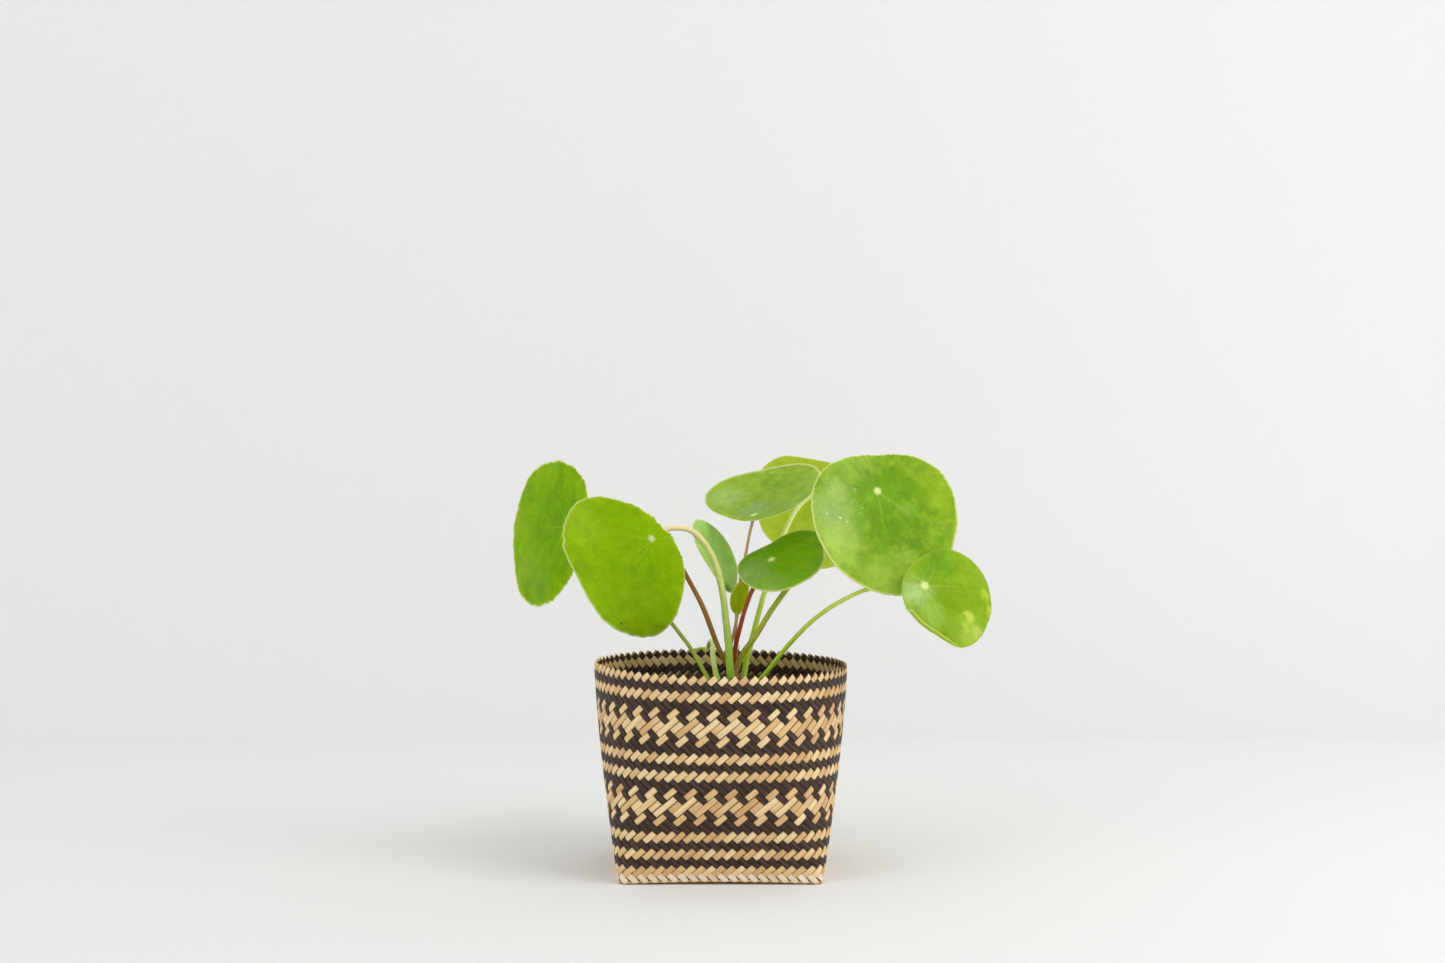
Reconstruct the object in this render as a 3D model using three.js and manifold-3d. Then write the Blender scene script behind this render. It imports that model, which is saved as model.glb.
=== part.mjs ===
// A potted pilea: a money plant with round, peltate leaves on long stalks, standing in its plastic
// nursery pot inside a small basket plaited in natural and dark strands.
// Millimetres, +Z up. The origin is on the basket's axis, at the level of the table.
// -Y is the front, +X is the right-hand side.
import * as THREE from 'three';
import { mergeVertices } from 'three/addons/utils/BufferGeometryUtils.js';
import Module from 'manifold-3d';

const wasm = await Module();
wasm.setup();

// ---------------------------------------------------------------------------------------------
// Driving dimensions
// ---------------------------------------------------------------------------------------------
const GAP = 0.3;                    // clearance between pieces that touch

const BASKET = {
  height: 110,                      // table to the middle of the rim's folded squares
  rimRadius: 69.2,                  // round at the rim
  baseHalf: 53.8,                   // half the side of the square base
  baseCorner: 3.5,                  // radius of its corners
  flare: 1.42,                      // the wall leans out most at the base, by this power
  footRound: 4,                     // height of the rounded bottom edge
  footInset: 0.8,                   // how far that edge draws in
  wall: 2.6,                        // from the mean outer surface to the smooth inside
  floor: 2.6,
  columns: 80,                      // half-diamonds round the wall, drawn at twice life size
  natural: 1.3, dyed: 0.2, gap: -0.9,  // relief of a natural crossing, a dyed one, and the gaps
  tooth: 2.6, notch: 0.3,           // heights of the sawtooth's peaks and valleys above the rim row
  rimDraw: 0.4,                     // the edge is drawn in by this much on both sides
  insideRows: [4, 9, 15, 24, 40, 75],  // depths below the rim of the inner rings
};
// One letter for each row of crossings, rim to base: N a row of natural squares on top, D dyed
// strands on top, O and E natural on every other crossing (odd or even), W the pale last row.
const WEAVE_ROWS = 'NDNDONEDNDNDONEDNDNDNWNN';

const POT = { bottomRadius: 43, topRadius: 54.5, height: 88, wall: 1.6, lip: 2.4, lipHeight: 8,
  drainRadius: 3.5, drainCircle: 30, drains: 6 };
// the soil's top rises and falls in lumps; its edge sinks a little where it meets the pot
const SOIL = { top: 84, lump: 0.9, lumpTurn: [0.31, 0.23, 0.37], edgeSink: 1, rings: 7, segments: 36,
  clearance: 0.65 };

const TRUNK = {
  path: [[9.5, 5, 68], [9, 4.5, 84], [8, 4, 98], [7, 4, 109], [6.8, 4, 116.5]],
  baseRadius: 4.4, topRadius: 3.1,
};
// Papery scales at the old leaf joints of the trunk: height, bearing in degrees, length, half width
const STIPULES = [
  { height: 107, bearing: -75, length: 9, halfWidth: 2.0 },
  { height: 112, bearing: 25, length: 7, halfWidth: 1.7 },
  { height: 100, bearing: -15, length: 8, halfWidth: 2.0 },
  { height: 99, bearing: 95, length: 7, halfWidth: 1.8 },
  { height: 94, bearing: -125, length: 7, halfWidth: 2.0 },
];
const STIPULE_THICKNESS = 0.8;
const STIPULE_LEAN = 22;            // degrees off the trunk
const STIPULE_ROOT = 0.5;           // how deep a scale is sunk in the bark

const BLADE = { thickness: 0.8, spokes: 24, rings: 4 };
const STALK = { sides: 8, stepLength: 7 };
const CURL_REACH = 0.6;             // radians either side of a curl's middle

// Each leaf is a blade on its stalk.
//   at: where the stalk meets the blade; face: the way the upper side looks; tip: towards the tip
//   length, width: the blade's size; heel: share of the length between the stalk and the centre
//   egg: broader towards the tip (+) or the heel (-); dome: edges fall back (+) or rise (-), mm
//   wave: height of the margin's waves in mm, how many, and their phase in degrees
//   lobes: [how many, mm, bearing of one] where the outline swells; fold: rise beside the midrib
//   curl: {bearing, depth} a stretch of margin bent back; bearings in degrees from the tip
//   stalk: its route from the trunk, up to just short of the blade; thick: its end radii
const LEAVES = [
  { name: 'far_left', at: [-86.6, 29, 187.7], face: [-0.80, -0.57, 0.18], tip: [-0.60, 0.79, -0.13],
    length: 85.9, width: 84.2, heel: 0.26, egg: 0.16, dome: 1.4, wave: [0.3, 7, 95],
    lobes: [[2, 0.6, 22], [3, 1.1, -37], [4, 0.7, -34]], curl: { bearing: 100, depth: 3.8 },
    stalk: [[8.4, 4, 89], [2.5, 3.4, 92.5], [-2.6, 3, 97], [-7.4, 3.2, 104], [-16.3, 8, 119],
      [-28, 14, 134], [-42.5, 24, 152], [-60, 31, 169], [-74.5, 33, 181], [-82, 32.5, 186]],
    thick: [1.25, 1.0], colour: 0x7fa832, stalkColour: 0x8fae3c },
  { name: 'big_left', at: [-36.9, -35, 183.3], face: [-0.46, -0.80, -0.38], tip: [-0.56, 0.60, -0.57],
    length: 84.5, width: 77, heel: 0.34, egg: 0.06, dome: 1.3, wave: [0.9, 5, 320],
    lobes: [[2, 4.0, 71], [3, 1.9, 34], [4, 0.5, -12]],
    stalk: [[8, 4, 95], [6.8, 0, 100.5], [5.5, -3, 106], [4, -6, 127.5], [2.7, -7.5, 138],
      [1.7, -9, 148], [-3.5, -13, 170], [-10.2, -17, 181.3], [-16.5, -20.5, 186.9],
      [-23.5, -24, 188.4], [-29.5, -27.5, 187.6]],
    thick: [2.5, 1.5], colour: 0x86aa1e, stalkColour: 0xa9b857 },
  { name: 'centre_upper', at: [18.6, 8, 194.2], face: [-0.25, -0.29, 0.93], tip: [0.30, 0.88, 0.36],
    length: 64.5, width: 66.1, heel: 0.35, egg: 0.09, dome: -3.1, wave: [0.1, 5, 170],
    lobes: [[2, 2.0, 62], [3, 2.0, -37]],
    stalk: [[7.8, 6.2, 112], [8.2, 6.8, 120], [8.5, 8, 133], [11, 12, 157.5], [13.8, 13, 171],
      [16.2, 12, 184]],
    thick: [0.9, 0.85], colour: 0x86ad3f, stalkColour: 0xb08b63 },
  { name: 'centre_lower', at: [28.1, 0, 169.8], face: [-0.34, -0.51, 0.79], tip: [0.79, -0.62, -0.07],
    length: 51, width: 50.2, heel: 0.15, egg: 0.12, dome: 0.6, wave: [0.3, 5, 220],
    lobes: [[2, 0.8, 58], [3, 1.8, -30], [4, 0.9, 1]],
    stalk: [[7.2, 2.2, 111], [8, 0.8, 120], [11, -2.5, 133.5], [13.6, -4.5, 143], [17.5, -3.5, 153],
      [23.5, 1.5, 161]],
    thick: [1.35, 1.2], colour: 0x5f8f1a, stalkColour: 0x7a3a1c },
  { name: 'back', at: [58.5, 82, 206.5], face: [0.41, 0.70, 0.58], tip: [-0.15, 0.68, -0.72],
    length: 82.2, width: 78.8, heel: 0.21, egg: -0.04, dome: 2.1, wave: [1.2, 6, 15],
    lobes: [[2, 0.4, 18], [3, 0.6, -12]],
    stalk: [[8.2, 4.2, 95], [12.3, 7.5, 102], [14.5, 12, 113], [18, 18, 125.5], [25.3, 36, 150],
      [36.8, 56, 182], [45.5, 68, 197], [53, 76, 203]],
    thick: [1.8, 1.4], colour: 0x9dbb2a, stalkColour: 0xb9cf7a },
  { name: 'large_right', at: [86.1, -10, 208], face: [0.27, -0.90, 0.34], tip: [0.19, -0.30, -0.94],
    length: 87.3, width: 82.1, heel: 0.21, egg: 0, dome: -3.1, wave: [0.2, 6, 335],
    lobes: [[2, 1.9, -83], [3, 2.2, -2], [4, 0.8, 35]],
    stalk: [[8.2, 4, 107], [12, 1, 117], [19.6, -2, 128], [27.3, -1, 140.5], [35.7, 1, 152],
      [51, 4, 171.5], [68, 5, 191], [78.5, 3, 201]],
    thick: [1.7, 1.4], colour: 0x86ad36, stalkColour: 0x8a8a30 },
  { name: 'lower_right', at: [108.5, -48, 158.6], face: [0.34, -0.86, 0.38], tip: [0.94, 0.26, -0.23],
    length: 53.4, width: 57.7, heel: 0.33, egg: 0.03, dome: 4.5, wave: [0.2, 5, 100],
    lobes: [[2, 2.2, 12], [3, 1.0, -53], [4, 0.6, 22]],
    stalk: [[8.6, 4, 90], [14, -0.5, 96], [22.3, -6, 104.3], [38, -12, 124.4], [51.5, -17, 138.4],
      [65, -21, 147.9], [81, -25, 155.2], [91, -26.5, 155.1], [98, -28.5, 153], [102, -33, 150.5],
      [105.5, -40, 151.7]],
    thick: [1.45, 1.1], colour: 0x8ab02c, stalkColour: 0x8fae33 },
  { name: 'small_middle', at: [-4.8, 8, 171.4], face: [0.82, -0.37, 0.44], tip: [0.36, 0.93, 0.10],
    length: 44.9, width: 44.5, heel: 0.21, egg: 0, dome: 0.9, wave: [0.2, 4, 325],
    lobes: [[2, 0.5, -34], [3, 1.7, 4], [4, 0.5, -17]],
    stalk: [[5.4, 6.2, 111], [3.6, 7, 119], [2.5, 8, 128], [1.8, 9, 140], [1.2, 10, 150],
      [-1.4, 10.8, 160], [-4.5, 10.2, 167.5]],
    thick: [0.85, 0.8], colour: 0x8dba6a, stalkColour: 0x8a4a3a },
  { name: 'bud', at: [9.3, 4.5, 139.5], face: [-0.45, -0.88, 0.12], tip: [0.18, 0.04, 0.98],
    length: 20, width: 10.5, heel: 0.46, egg: 0.05, dome: 1.0, wave: [0, 0, 0], lobes: [], fold: 0.6,
    stalk: [[5.2, 4.4, 112], [5.7, 4.4, 121], [7.3, 4.5, 129]],
    thick: [1.1, 0.9], colour: 0x6f7d10, stalkColour: 0x7a6a3a },
  { name: 'hidden_left', at: [-38.5, 8, 174], face: [-0.60, 0.10, 0.79], tip: [-0.79, 0, -0.60],
    length: 41, width: 37, heel: 0.22, egg: 0.05, dome: 1.8, wave: [0.4, 5, 0], lobes: [],
    stalk: [[7.4, 4, 106], [0.5, 5, 116.5], [-10, 6, 143], [-16.8, 6.6, 156], [-22.5, 7, 165.5],
      [-29, 7.5, 170.5], [-34, 8, 171.5]],
    thick: [1.6, 1.45], colour: 0x86aa2e, stalkColour: 0x6f4f2c },
  { name: 'low_back', at: [-10, 83, 103], face: [-0.15, 0.93, 0.33], tip: [-0.10, 0.33, -0.94],
    length: 44, width: 42, heel: 0.24, egg: 0.05, dome: 2.0, wave: [0.4, 5, 0], lobes: [],
    stalk: [[8.6, 5, 87], [3, 8, 94], [-1.5, 10, 102], [-4.5, 24, 113.5], [-4.5, 40, 119.3],
      [-6, 57, 119.3], [-7, 67, 116.5], [-8, 73.5, 112], [-9.4, 78, 107.5]],
    thick: [1.8, 1.2], colour: 0x8fae3a, stalkColour: 0xb9c99a },
];

// ---------------------------------------------------------------------------------------------
// Helpers
// ---------------------------------------------------------------------------------------------
const group = new THREE.Group();
const vec = ([x, y, z]) => new THREE.Vector3(x, y, z);
const radians = THREE.MathUtils.degToRad;

function addMesh(name, geometry, colour, roughness) {
  const material = new THREE.MeshStandardMaterial({ color: colour, roughness, metalness: 0 });
  const mesh = new THREE.Mesh(geometry, material);
  mesh.name = name;
  group.add(mesh);
}

function toSolid(geometry) {
  const bare = geometry.clone();
  bare.deleteAttribute('normal');
  bare.deleteAttribute('uv');
  const merged = mergeVertices(bare, 1e-4);
  return new wasm.Manifold(new wasm.Mesh({
    numProp: 3,
    vertProperties: new Float32Array(merged.attributes.position.array),
    triVerts: new Uint32Array(merged.index.array),
  }));
}

function toGeometry(solid) {
  const mesh = solid.getMesh();
  const geometry = new THREE.BufferGeometry();
  geometry.setAttribute('position', new THREE.BufferAttribute(new Float32Array(mesh.vertProperties), 3));
  geometry.setIndex(new THREE.BufferAttribute(new Uint32Array(mesh.triVerts), 1));
  geometry.computeVertexNormals();
  return geometry;
}

// The main body of a cut solid: crumbs that a cut leaves behind are dropped.
function largestPiece(solid) {
  const pieces = solid.decompose();
  pieces.sort((a, b) => b.volume() - a.volume());
  return pieces[0];
}

function meshFrom(points, triangles) {
  const geometry = new THREE.BufferGeometry();
  geometry.setAttribute('position', new THREE.Float32BufferAttribute(points.flat(), 3));
  geometry.setIndex(triangles.flat());
  geometry.computeVertexNormals();
  return geometry;
}

// Closed skin through a stack of rings with the same number of points, capped at both ends.
function skinRings(rings) {
  const n = rings[0].length;
  const points = rings.flat();
  const triangles = [];
  for (let r = 0; r + 1 < rings.length; r += 1) {
    for (let i = 0; i < n; i += 1) {
      const a = r * n + i;
      const b = r * n + ((i + 1) % n);
      triangles.push([a, b, b + n], [a, b + n, a + n]);
    }
  }
  const middle = (ring) => ring.reduce((m, p) => m.map((v, k) => v + p[k] / n), [0, 0, 0]);
  points.push(middle(rings[0]), middle(rings[rings.length - 1]));
  const last = (rings.length - 1) * n;
  for (let i = 0; i < n; i += 1) {
    const j = (i + 1) % n;
    triangles.push([rings.length * n, j, i], [rings.length * n + 1, last + i, last + j]);
  }
  return meshFrom(points, triangles);
}

// A round stem along a smooth route; its radius runs from one end value to the other.
function stem(route, startRadius, endRadius, extra = 0) {
  const curve = new THREE.CatmullRomCurve3(route.map(vec), false, 'centripetal');
  const steps = Math.max(3, Math.round(curve.getLength() / STALK.stepLength));
  const frames = curve.computeFrenetFrames(steps, false);
  const rings = [];
  for (let k = 0; k <= steps; k += 1) {
    const t = k / steps;
    const centre = curve.getPointAt(t);
    const radius = startRadius + (endRadius - startRadius) * t ** 0.6 + extra;
    const ring = [];
    for (let i = 0; i < STALK.sides; i += 1) {
      const a = (2 * Math.PI * i) / STALK.sides;
      const p = centre.clone()
        .addScaledVector(frames.normals[k], radius * Math.cos(a))
        .addScaledVector(frames.binormals[k], radius * Math.sin(a));
      ring.push(p.toArray());
    }
    rings.push(ring);
  }
  return skinRings(rings);
}

// ---------------------------------------------------------------------------------------------
// Basket: a square floor, a wall that turns round at the rim, twill relief, sawtooth rim
// ---------------------------------------------------------------------------------------------
const SHARP_CORNERS = 8 - 2 * Math.PI;  // girth that a square has more than its inner circle, per radius
const baseGirth = 8 * BASKET.baseHalf - SHARP_CORNERS * BASKET.baseCorner;
const rimGirth = 2 * Math.PI * BASKET.rimRadius;

// A level section of the wall is a square with round corners. The strands keep their spacing, so its
// girth hardly changes with height and the corners open until they are one circle at the rim.
// share is the way round the section from the middle of the +X side; lift is outwards.
function wallPoint(share, z, lift) {
  const t = Math.min(1, z / BASKET.height);
  const half = BASKET.baseHalf
    + (BASKET.rimRadius - BASKET.baseHalf) * (1 - (1 - t) ** BASKET.flare);
  const girth = baseGirth + (rimGirth - baseGirth) * t;
  const corner = Math.min(half, Math.max(BASKET.baseCorner, (8 * half - girth) / SHARP_CORNERS));
  const straight = half - corner;
  const side = Math.round(4 * share);
  const along = (4 * share - side) * (2 * straight + (Math.PI / 2) * corner);
  const turn = Math.max(0, Math.abs(along) - straight) / corner;
  const foot = Math.max(0, 1 - z / BASKET.footRound);
  const radius = corner + lift - BASKET.footInset * foot * foot;
  const out = straight + radius * Math.cos(turn);
  const across = Math.sign(along) * (Math.min(Math.abs(along), straight) + radius * Math.sin(turn));
  const quarter = (Math.PI / 2) * side;
  return [out * Math.cos(quarter) - across * Math.sin(quarter),
    out * Math.sin(quarter) + across * Math.cos(quarter), z];
}

function crossingHeight(column, row) {
  const crossing = (column + row) % 2 === 0;
  if (!crossing) return BASKET.gap;
  const kind = WEAVE_ROWS[Math.min(row, WEAVE_ROWS.length - 1)];
  const strand = (column + row) / 2;
  const natural = 'NW'.includes(kind) || (kind === 'O' && strand % 2 === 1)
    || (kind === 'E' && strand % 2 === 0);
  return natural ? BASKET.natural : BASKET.dyed;
}

function basketGeometry() {
  const n = BASKET.columns;
  const rows = WEAVE_ROWS.length;
  const points = [];
  const triangles = [];
  const at = (c, ring) => ring * n + (c % n);
  const place = (column, z, lift) => points.push(wallPoint(column / n, z, lift));
  const rimTop = (column) => BASKET.height + (column % 2 === 0 ? BASKET.tooth : BASKET.notch);

  // ring 0 is the sawtooth edge, rings 1 to rows + 1 go down the outside
  for (let c = 0; c < n; c += 1) place(c, rimTop(c), -BASKET.rimDraw);
  for (let r = 0; r <= rows; r += 1) {
    const z = BASKET.height * (1 - r / rows);
    for (let c = 0; c < n; c += 1) {
      place(c, z, r === rows ? 0 : crossingHeight(c, r));
    }
  }
  // the quads of the outside are split along the strand that joins two crossings
  for (let ring = 0; ring <= rows; ring += 1) {
    for (let c = 0; c < n; c += 1) {
      const a = at(c, ring);
      const b = at(c + 1, ring);
      const d = at(c, ring + 1);
      const e = at(c + 1, ring + 1);
      const slash = (c + ring) % 2 === 0;
      if (slash) triangles.push([a, d, b], [b, d, e]);
      else triangles.push([a, d, e], [a, e, b]);
    }
  }
  // flat underside
  const lowest = rows + 1;
  const under = points.push([0, 0, 0]) - 1;
  for (let c = 0; c < n; c += 1) triangles.push([under, at(c + 1, lowest), at(c, lowest)]);

  // inside: a smooth wall from the sawtooth edge down to the floor
  const inside = [];
  const insideRing = (depth, zOf) => {
    const start = points.length;
    for (let c = 0; c < n; c += 1) place(c, zOf(c), -depth);
    inside.push(start);
  };
  insideRing(BASKET.wall - BASKET.rimDraw, rimTop);
  for (const depth of BASKET.insideRows) insideRing(BASKET.wall, () => BASKET.height - depth);
  insideRing(BASKET.wall, () => BASKET.floor);
  let previous = 0;
  for (const start of inside) {
    for (let c = 0; c < n; c += 1) {
      const next = (c + 1) % n;
      const [a, b, d, e] = [previous + c, previous + next, start + c, start + next];
      triangles.push([a, b, e], [a, e, d]);
    }
    previous = start;
  }
  const floorMiddle = points.push([0, 0, BASKET.floor]) - 1;
  for (let c = 0; c < n; c += 1) triangles.push([floorMiddle, previous + c, previous + ((c + 1) % n)]);
  return meshFrom(points, triangles);
}

// ---------------------------------------------------------------------------------------------
// Nursery pot and soil
// ---------------------------------------------------------------------------------------------
const potFloor = BASKET.floor + GAP;

function lathe(profile, segments) {
  const geometry = new THREE.LatheGeometry(profile.map(([r, z]) => new THREE.Vector2(r, z)), segments);
  return geometry.rotateX(Math.PI / 2);
}

function potGeometry() {
  const top = potFloor + POT.height;
  const { bottomRadius: rb, topRadius: rt, wall, lip, lipHeight } = POT;
  const profile = [[0, potFloor], [rb, potFloor], [rt, top - lipHeight], [rt + lip, top - lipHeight],
    [rt + lip, top], [rt + lip - wall, top], [rt - wall, top - lipHeight], [rb - wall, potFloor + wall],
    [0, potFloor + wall]];
  let solid = toSolid(lathe(profile, 36));
  for (let k = 0; k < POT.drains; k += 1) {
    const a = (2 * Math.PI * k) / POT.drains;
    const hole = new THREE.CylinderGeometry(POT.drainRadius, POT.drainRadius, 4 * POT.wall, 10);
    hole.rotateX(Math.PI / 2);
    hole.translate(POT.drainCircle * Math.cos(a), POT.drainCircle * Math.sin(a), potFloor);
    solid = solid.subtract(toSolid(hole));
  }
  return toGeometry(solid);
}

function soilGeometry(trunkClearance) {
  const bottom = potFloor + POT.wall + GAP;
  const slope = (POT.topRadius - POT.bottomRadius) / (POT.height - POT.lipHeight);
  const radiusAt = (z) => POT.bottomRadius + slope * (z - potFloor) - POT.wall - SOIL.clearance;
  const edge = radiusAt(SOIL.top - SOIL.edgeSink);
  const profile = [[0, bottom], [radiusAt(bottom), bottom]];
  for (let k = 0; k <= SOIL.rings; k += 1) {
    profile.push([edge * (1 - k / SOIL.rings), SOIL.top - (k === 0 ? SOIL.edgeSink : 0)]);
  }
  const geometry = lathe(profile, SOIL.segments);
  const p = geometry.attributes.position;
  const [across, bend, along] = SOIL.lumpTurn;
  for (let i = 0; i < p.count; i += 1) {
    const [x, y, z] = [p.getX(i), p.getY(i), p.getZ(i)];
    if (z === SOIL.top && Math.hypot(x, y) > 0) {
      const lump = Math.sin(across * x + 1.7 * Math.sin(bend * y)) * Math.cos(along * y);
      p.setZ(i, SOIL.top + SOIL.lump * lump);
    }
  }
  return toGeometry(toSolid(geometry).subtract(trunkClearance));
}

// ---------------------------------------------------------------------------------------------
// Trunk with its papery scales
// ---------------------------------------------------------------------------------------------
function stipule({ height, bearing, length, halfWidth }, grow = 0) {
  const curve = new THREE.CatmullRomCurve3(TRUNK.path.map(vec), false, 'centripetal');
  const share = (height - TRUNK.path[0][2]) / (TRUNK.path.at(-1)[2] - TRUNK.path[0][2]);
  const foot = curve.getPointAt(share);
  const shape = new THREE.Shape();
  const half = halfWidth + grow;
  const tip = length + 1.5 * grow;
  shape.moveTo(-half, -1);
  shape.quadraticCurveTo(-half * 1.1, tip * 0.5, 0, tip);
  shape.quadraticCurveTo(half * 1.1, tip * 0.5, half, -1);
  shape.closePath();
  const depth = STIPULE_THICKNESS + 2 * grow;
  const scale = new THREE.ExtrudeGeometry(shape, { depth, bevelEnabled: false, curveSegments: 4 });
  scale.translate(0, 0, -depth / 2);
  scale.rotateX(Math.PI / 2 - radians(STIPULE_LEAN));
  scale.rotateZ(Math.PI / 2 + radians(bearing));
  const out = TRUNK.topRadius - STIPULE_ROOT;
  const away = radians(bearing);
  return scale.translate(foot.x + out * Math.cos(away), foot.y + out * Math.sin(away), foot.z);
}

function trunkSolid() {
  let solid = toSolid(stem(TRUNK.path, TRUNK.baseRadius, TRUNK.topRadius));
  for (const scale of STIPULES) solid = solid.add(toSolid(stipule(scale)));
  return largestPiece(solid);
}

function trunkClearance() {
  const top = TRUNK.path.at(-1);
  const route = [[...TRUNK.path[0].slice(0, 2), TRUNK.path[0][2] - GAP], ...TRUNK.path.slice(1, -1),
    [top[0], top[1], top[2] + GAP]];
  let solid = toSolid(stem(route, TRUNK.baseRadius, TRUNK.topRadius, GAP));
  for (const scale of STIPULES) solid = solid.add(toSolid(stipule(scale, GAP)));
  return solid;
}

// ---------------------------------------------------------------------------------------------
// Leaves
// ---------------------------------------------------------------------------------------------
function leafAxes(leaf) {
  const n = vec(leaf.face).normalize();
  const t = vec(leaf.tip);
  t.addScaledVector(n, -t.dot(n)).normalize();
  return { t, s: n.clone().cross(t), n };
}

// Height of the blade's middle surface above the plane through the stalk's end, at (u, v):
// u towards the tip, v to the side; rho runs from 0 at the blade's centre to 1 at its margin.
function bladeHeight(leaf, u, v, rho, theta) {
  const half = leaf.length / 2;
  let height = -leaf.dome * (u * u + v * v) / (half * half);
  height += (leaf.fold ?? 0) * Math.abs(v);
  const [crest, waves, phase] = leaf.wave;
  height += crest * rho ** 3 * Math.sin(waves * theta + radians(phase));
  if (leaf.curl) {
    const turn = theta - radians(leaf.curl.bearing);
    const away = Math.atan2(Math.sin(turn), Math.cos(turn));
    height -= leaf.curl.depth * rho ** 6 * Math.exp(-((away / CURL_REACH) ** 2));
  }
  return height;
}

// How much wider than a plain egg shape the outline is in this direction from the blade's centre
function swelling(leaf, theta) {
  const push = ([count, size, bearing]) => size * Math.cos(count * (theta - radians(bearing)));
  return 1 + leaf.lobes.reduce((sum, lobe) => sum + push(lobe), 0) / (leaf.length / 2);
}

function bladeGeometry(leaf, grow = 0) {
  const { t, s, n } = leafAxes(leaf);
  const origin = vec(leaf.at);
  const half = BLADE.thickness / 2 + grow;
  const point = (rho, theta, side) => {
    const wide = rho * swelling(leaf, theta);
    const u = leaf.length * (leaf.heel + 0.5 * wide * Math.cos(theta)) + grow * Math.cos(theta) * rho;
    const v = (0.5 * leaf.width * wide * (1 + leaf.egg * Math.cos(theta)) + grow * rho) * Math.sin(theta);
    const w = bladeHeight(leaf, u, v, rho, theta) + side * half;
    return origin.clone().addScaledVector(t, u).addScaledVector(s, v).addScaledVector(n, w).toArray();
  };
  const points = [];
  const triangles = [];
  const { spokes, rings } = BLADE;
  for (const side of [1, -1]) {
    points.push(point(0, 0, side));
    for (let r = 1; r <= rings; r += 1) {
      for (let k = 0; k < spokes; k += 1) points.push(point(r / rings, (2 * Math.PI * k) / spokes, side));
    }
  }
  const perSide = 1 + rings * spokes;
  const id = (side, r, k) => side * perSide + 1 + (r - 1) * spokes + (k % spokes);
  for (const side of [0, 1]) {
    const face = (a, b, c) => triangles.push(side === 0 ? [a, b, c] : [a, c, b]);
    for (let k = 0; k < spokes; k += 1) {
      face(side * perSide, id(side, 1, k), id(side, 1, k + 1));
      for (let r = 1; r < rings; r += 1) {
        face(id(side, r, k), id(side, r + 1, k), id(side, r + 1, k + 1));
        face(id(side, r, k), id(side, r + 1, k + 1), id(side, r, k + 1));
      }
    }
  }
  for (let k = 0; k < spokes; k += 1) {
    const [a, b, c, d] = [id(0, rings, k), id(0, rings, k + 1), id(1, rings, k), id(1, rings, k + 1)];
    triangles.push([a, c, d], [a, d, b]);
  }
  return meshFrom(points, triangles);
}

function stalkGeometry(leaf, clearance) {
  const { n } = leafAxes(leaf);
  const seat = vec(leaf.at).addScaledVector(n, -(BLADE.thickness / 2 + GAP));
  const route = [...leaf.stalk, seat.toArray()];
  const whole = toSolid(stem(route, leaf.thick[0], leaf.thick[1]));
  const cut = whole.subtract(clearance).subtract(toSolid(bladeGeometry(leaf, GAP)));
  return toGeometry(largestPiece(cut));
}

// ---------------------------------------------------------------------------------------------
// The part
// ---------------------------------------------------------------------------------------------
const clearance = trunkClearance();
addMesh('woven_basket', basketGeometry(), 0x9a7a50, 0.7);
addMesh('nursery_pot', potGeometry(), 0x2e2a28, 0.5);
addMesh('potting_soil', soilGeometry(clearance), 0x2d211a, 0.95);
addMesh('trunk', toGeometry(trunkSolid()), 0x7a5a3c, 0.8);
for (const leaf of LEAVES) {
  addMesh(`stalk_${leaf.name}`, stalkGeometry(leaf, clearance), leaf.stalkColour, 0.5);
  addMesh(`leaf_${leaf.name}`, bladeGeometry(leaf), leaf.colour, 0.45);
}

export default group;
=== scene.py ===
# %% [markdown]
# # A potted pilea in a plaited basket
# A Chinese money plant grows in its plastic nursery pot, and the pot stands in a small basket
# plaited from natural and dyed strips. The measured model comes first as a fixed frame, and each
# cell after it makes one piece or one finish. Every piece stands where its measured twin stands.

# %% Load the frame
import math
import random
from functools import partial

import bpy
import numpy as np
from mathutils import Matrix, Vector, noise


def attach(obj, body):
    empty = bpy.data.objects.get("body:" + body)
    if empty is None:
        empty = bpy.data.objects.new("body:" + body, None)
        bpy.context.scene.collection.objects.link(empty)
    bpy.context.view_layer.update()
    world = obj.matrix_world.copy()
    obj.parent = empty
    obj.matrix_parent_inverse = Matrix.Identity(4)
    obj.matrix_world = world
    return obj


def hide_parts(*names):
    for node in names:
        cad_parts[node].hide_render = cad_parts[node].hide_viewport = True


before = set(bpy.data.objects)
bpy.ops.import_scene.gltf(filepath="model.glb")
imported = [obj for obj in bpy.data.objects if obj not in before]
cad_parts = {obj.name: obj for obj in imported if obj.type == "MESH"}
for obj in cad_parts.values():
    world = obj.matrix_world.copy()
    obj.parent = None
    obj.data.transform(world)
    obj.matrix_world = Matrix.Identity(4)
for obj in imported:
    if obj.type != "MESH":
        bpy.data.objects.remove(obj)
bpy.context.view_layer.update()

bpy.ops.object.select_all(action="DESELECT")
BODY = "root"
MM = 0.001
TURN = 2 * math.pi

# %% [markdown]
# ## Helpers for finishes
# Colours are written as the hex values that a paint shop or a colour picker gives. Cycles works in
# linear light, so one function turns them. A material is a small graph, and one function adds a node
# with its settings, the values of its sockets and the links into them.

# %% Colour and node helpers
def linear(hex_colour):
    """The linear RGBA that Cycles wants for an sRGB colour such as '#D9B57A'."""
    channels = [int(hex_colour[i:i + 2], 16) / 255 for i in (1, 3, 5)]
    return [c / 12.92 if c <= 0.04045 else ((c + 0.055) / 1.055) ** 2.4 for c in channels] + [1.0]


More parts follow.
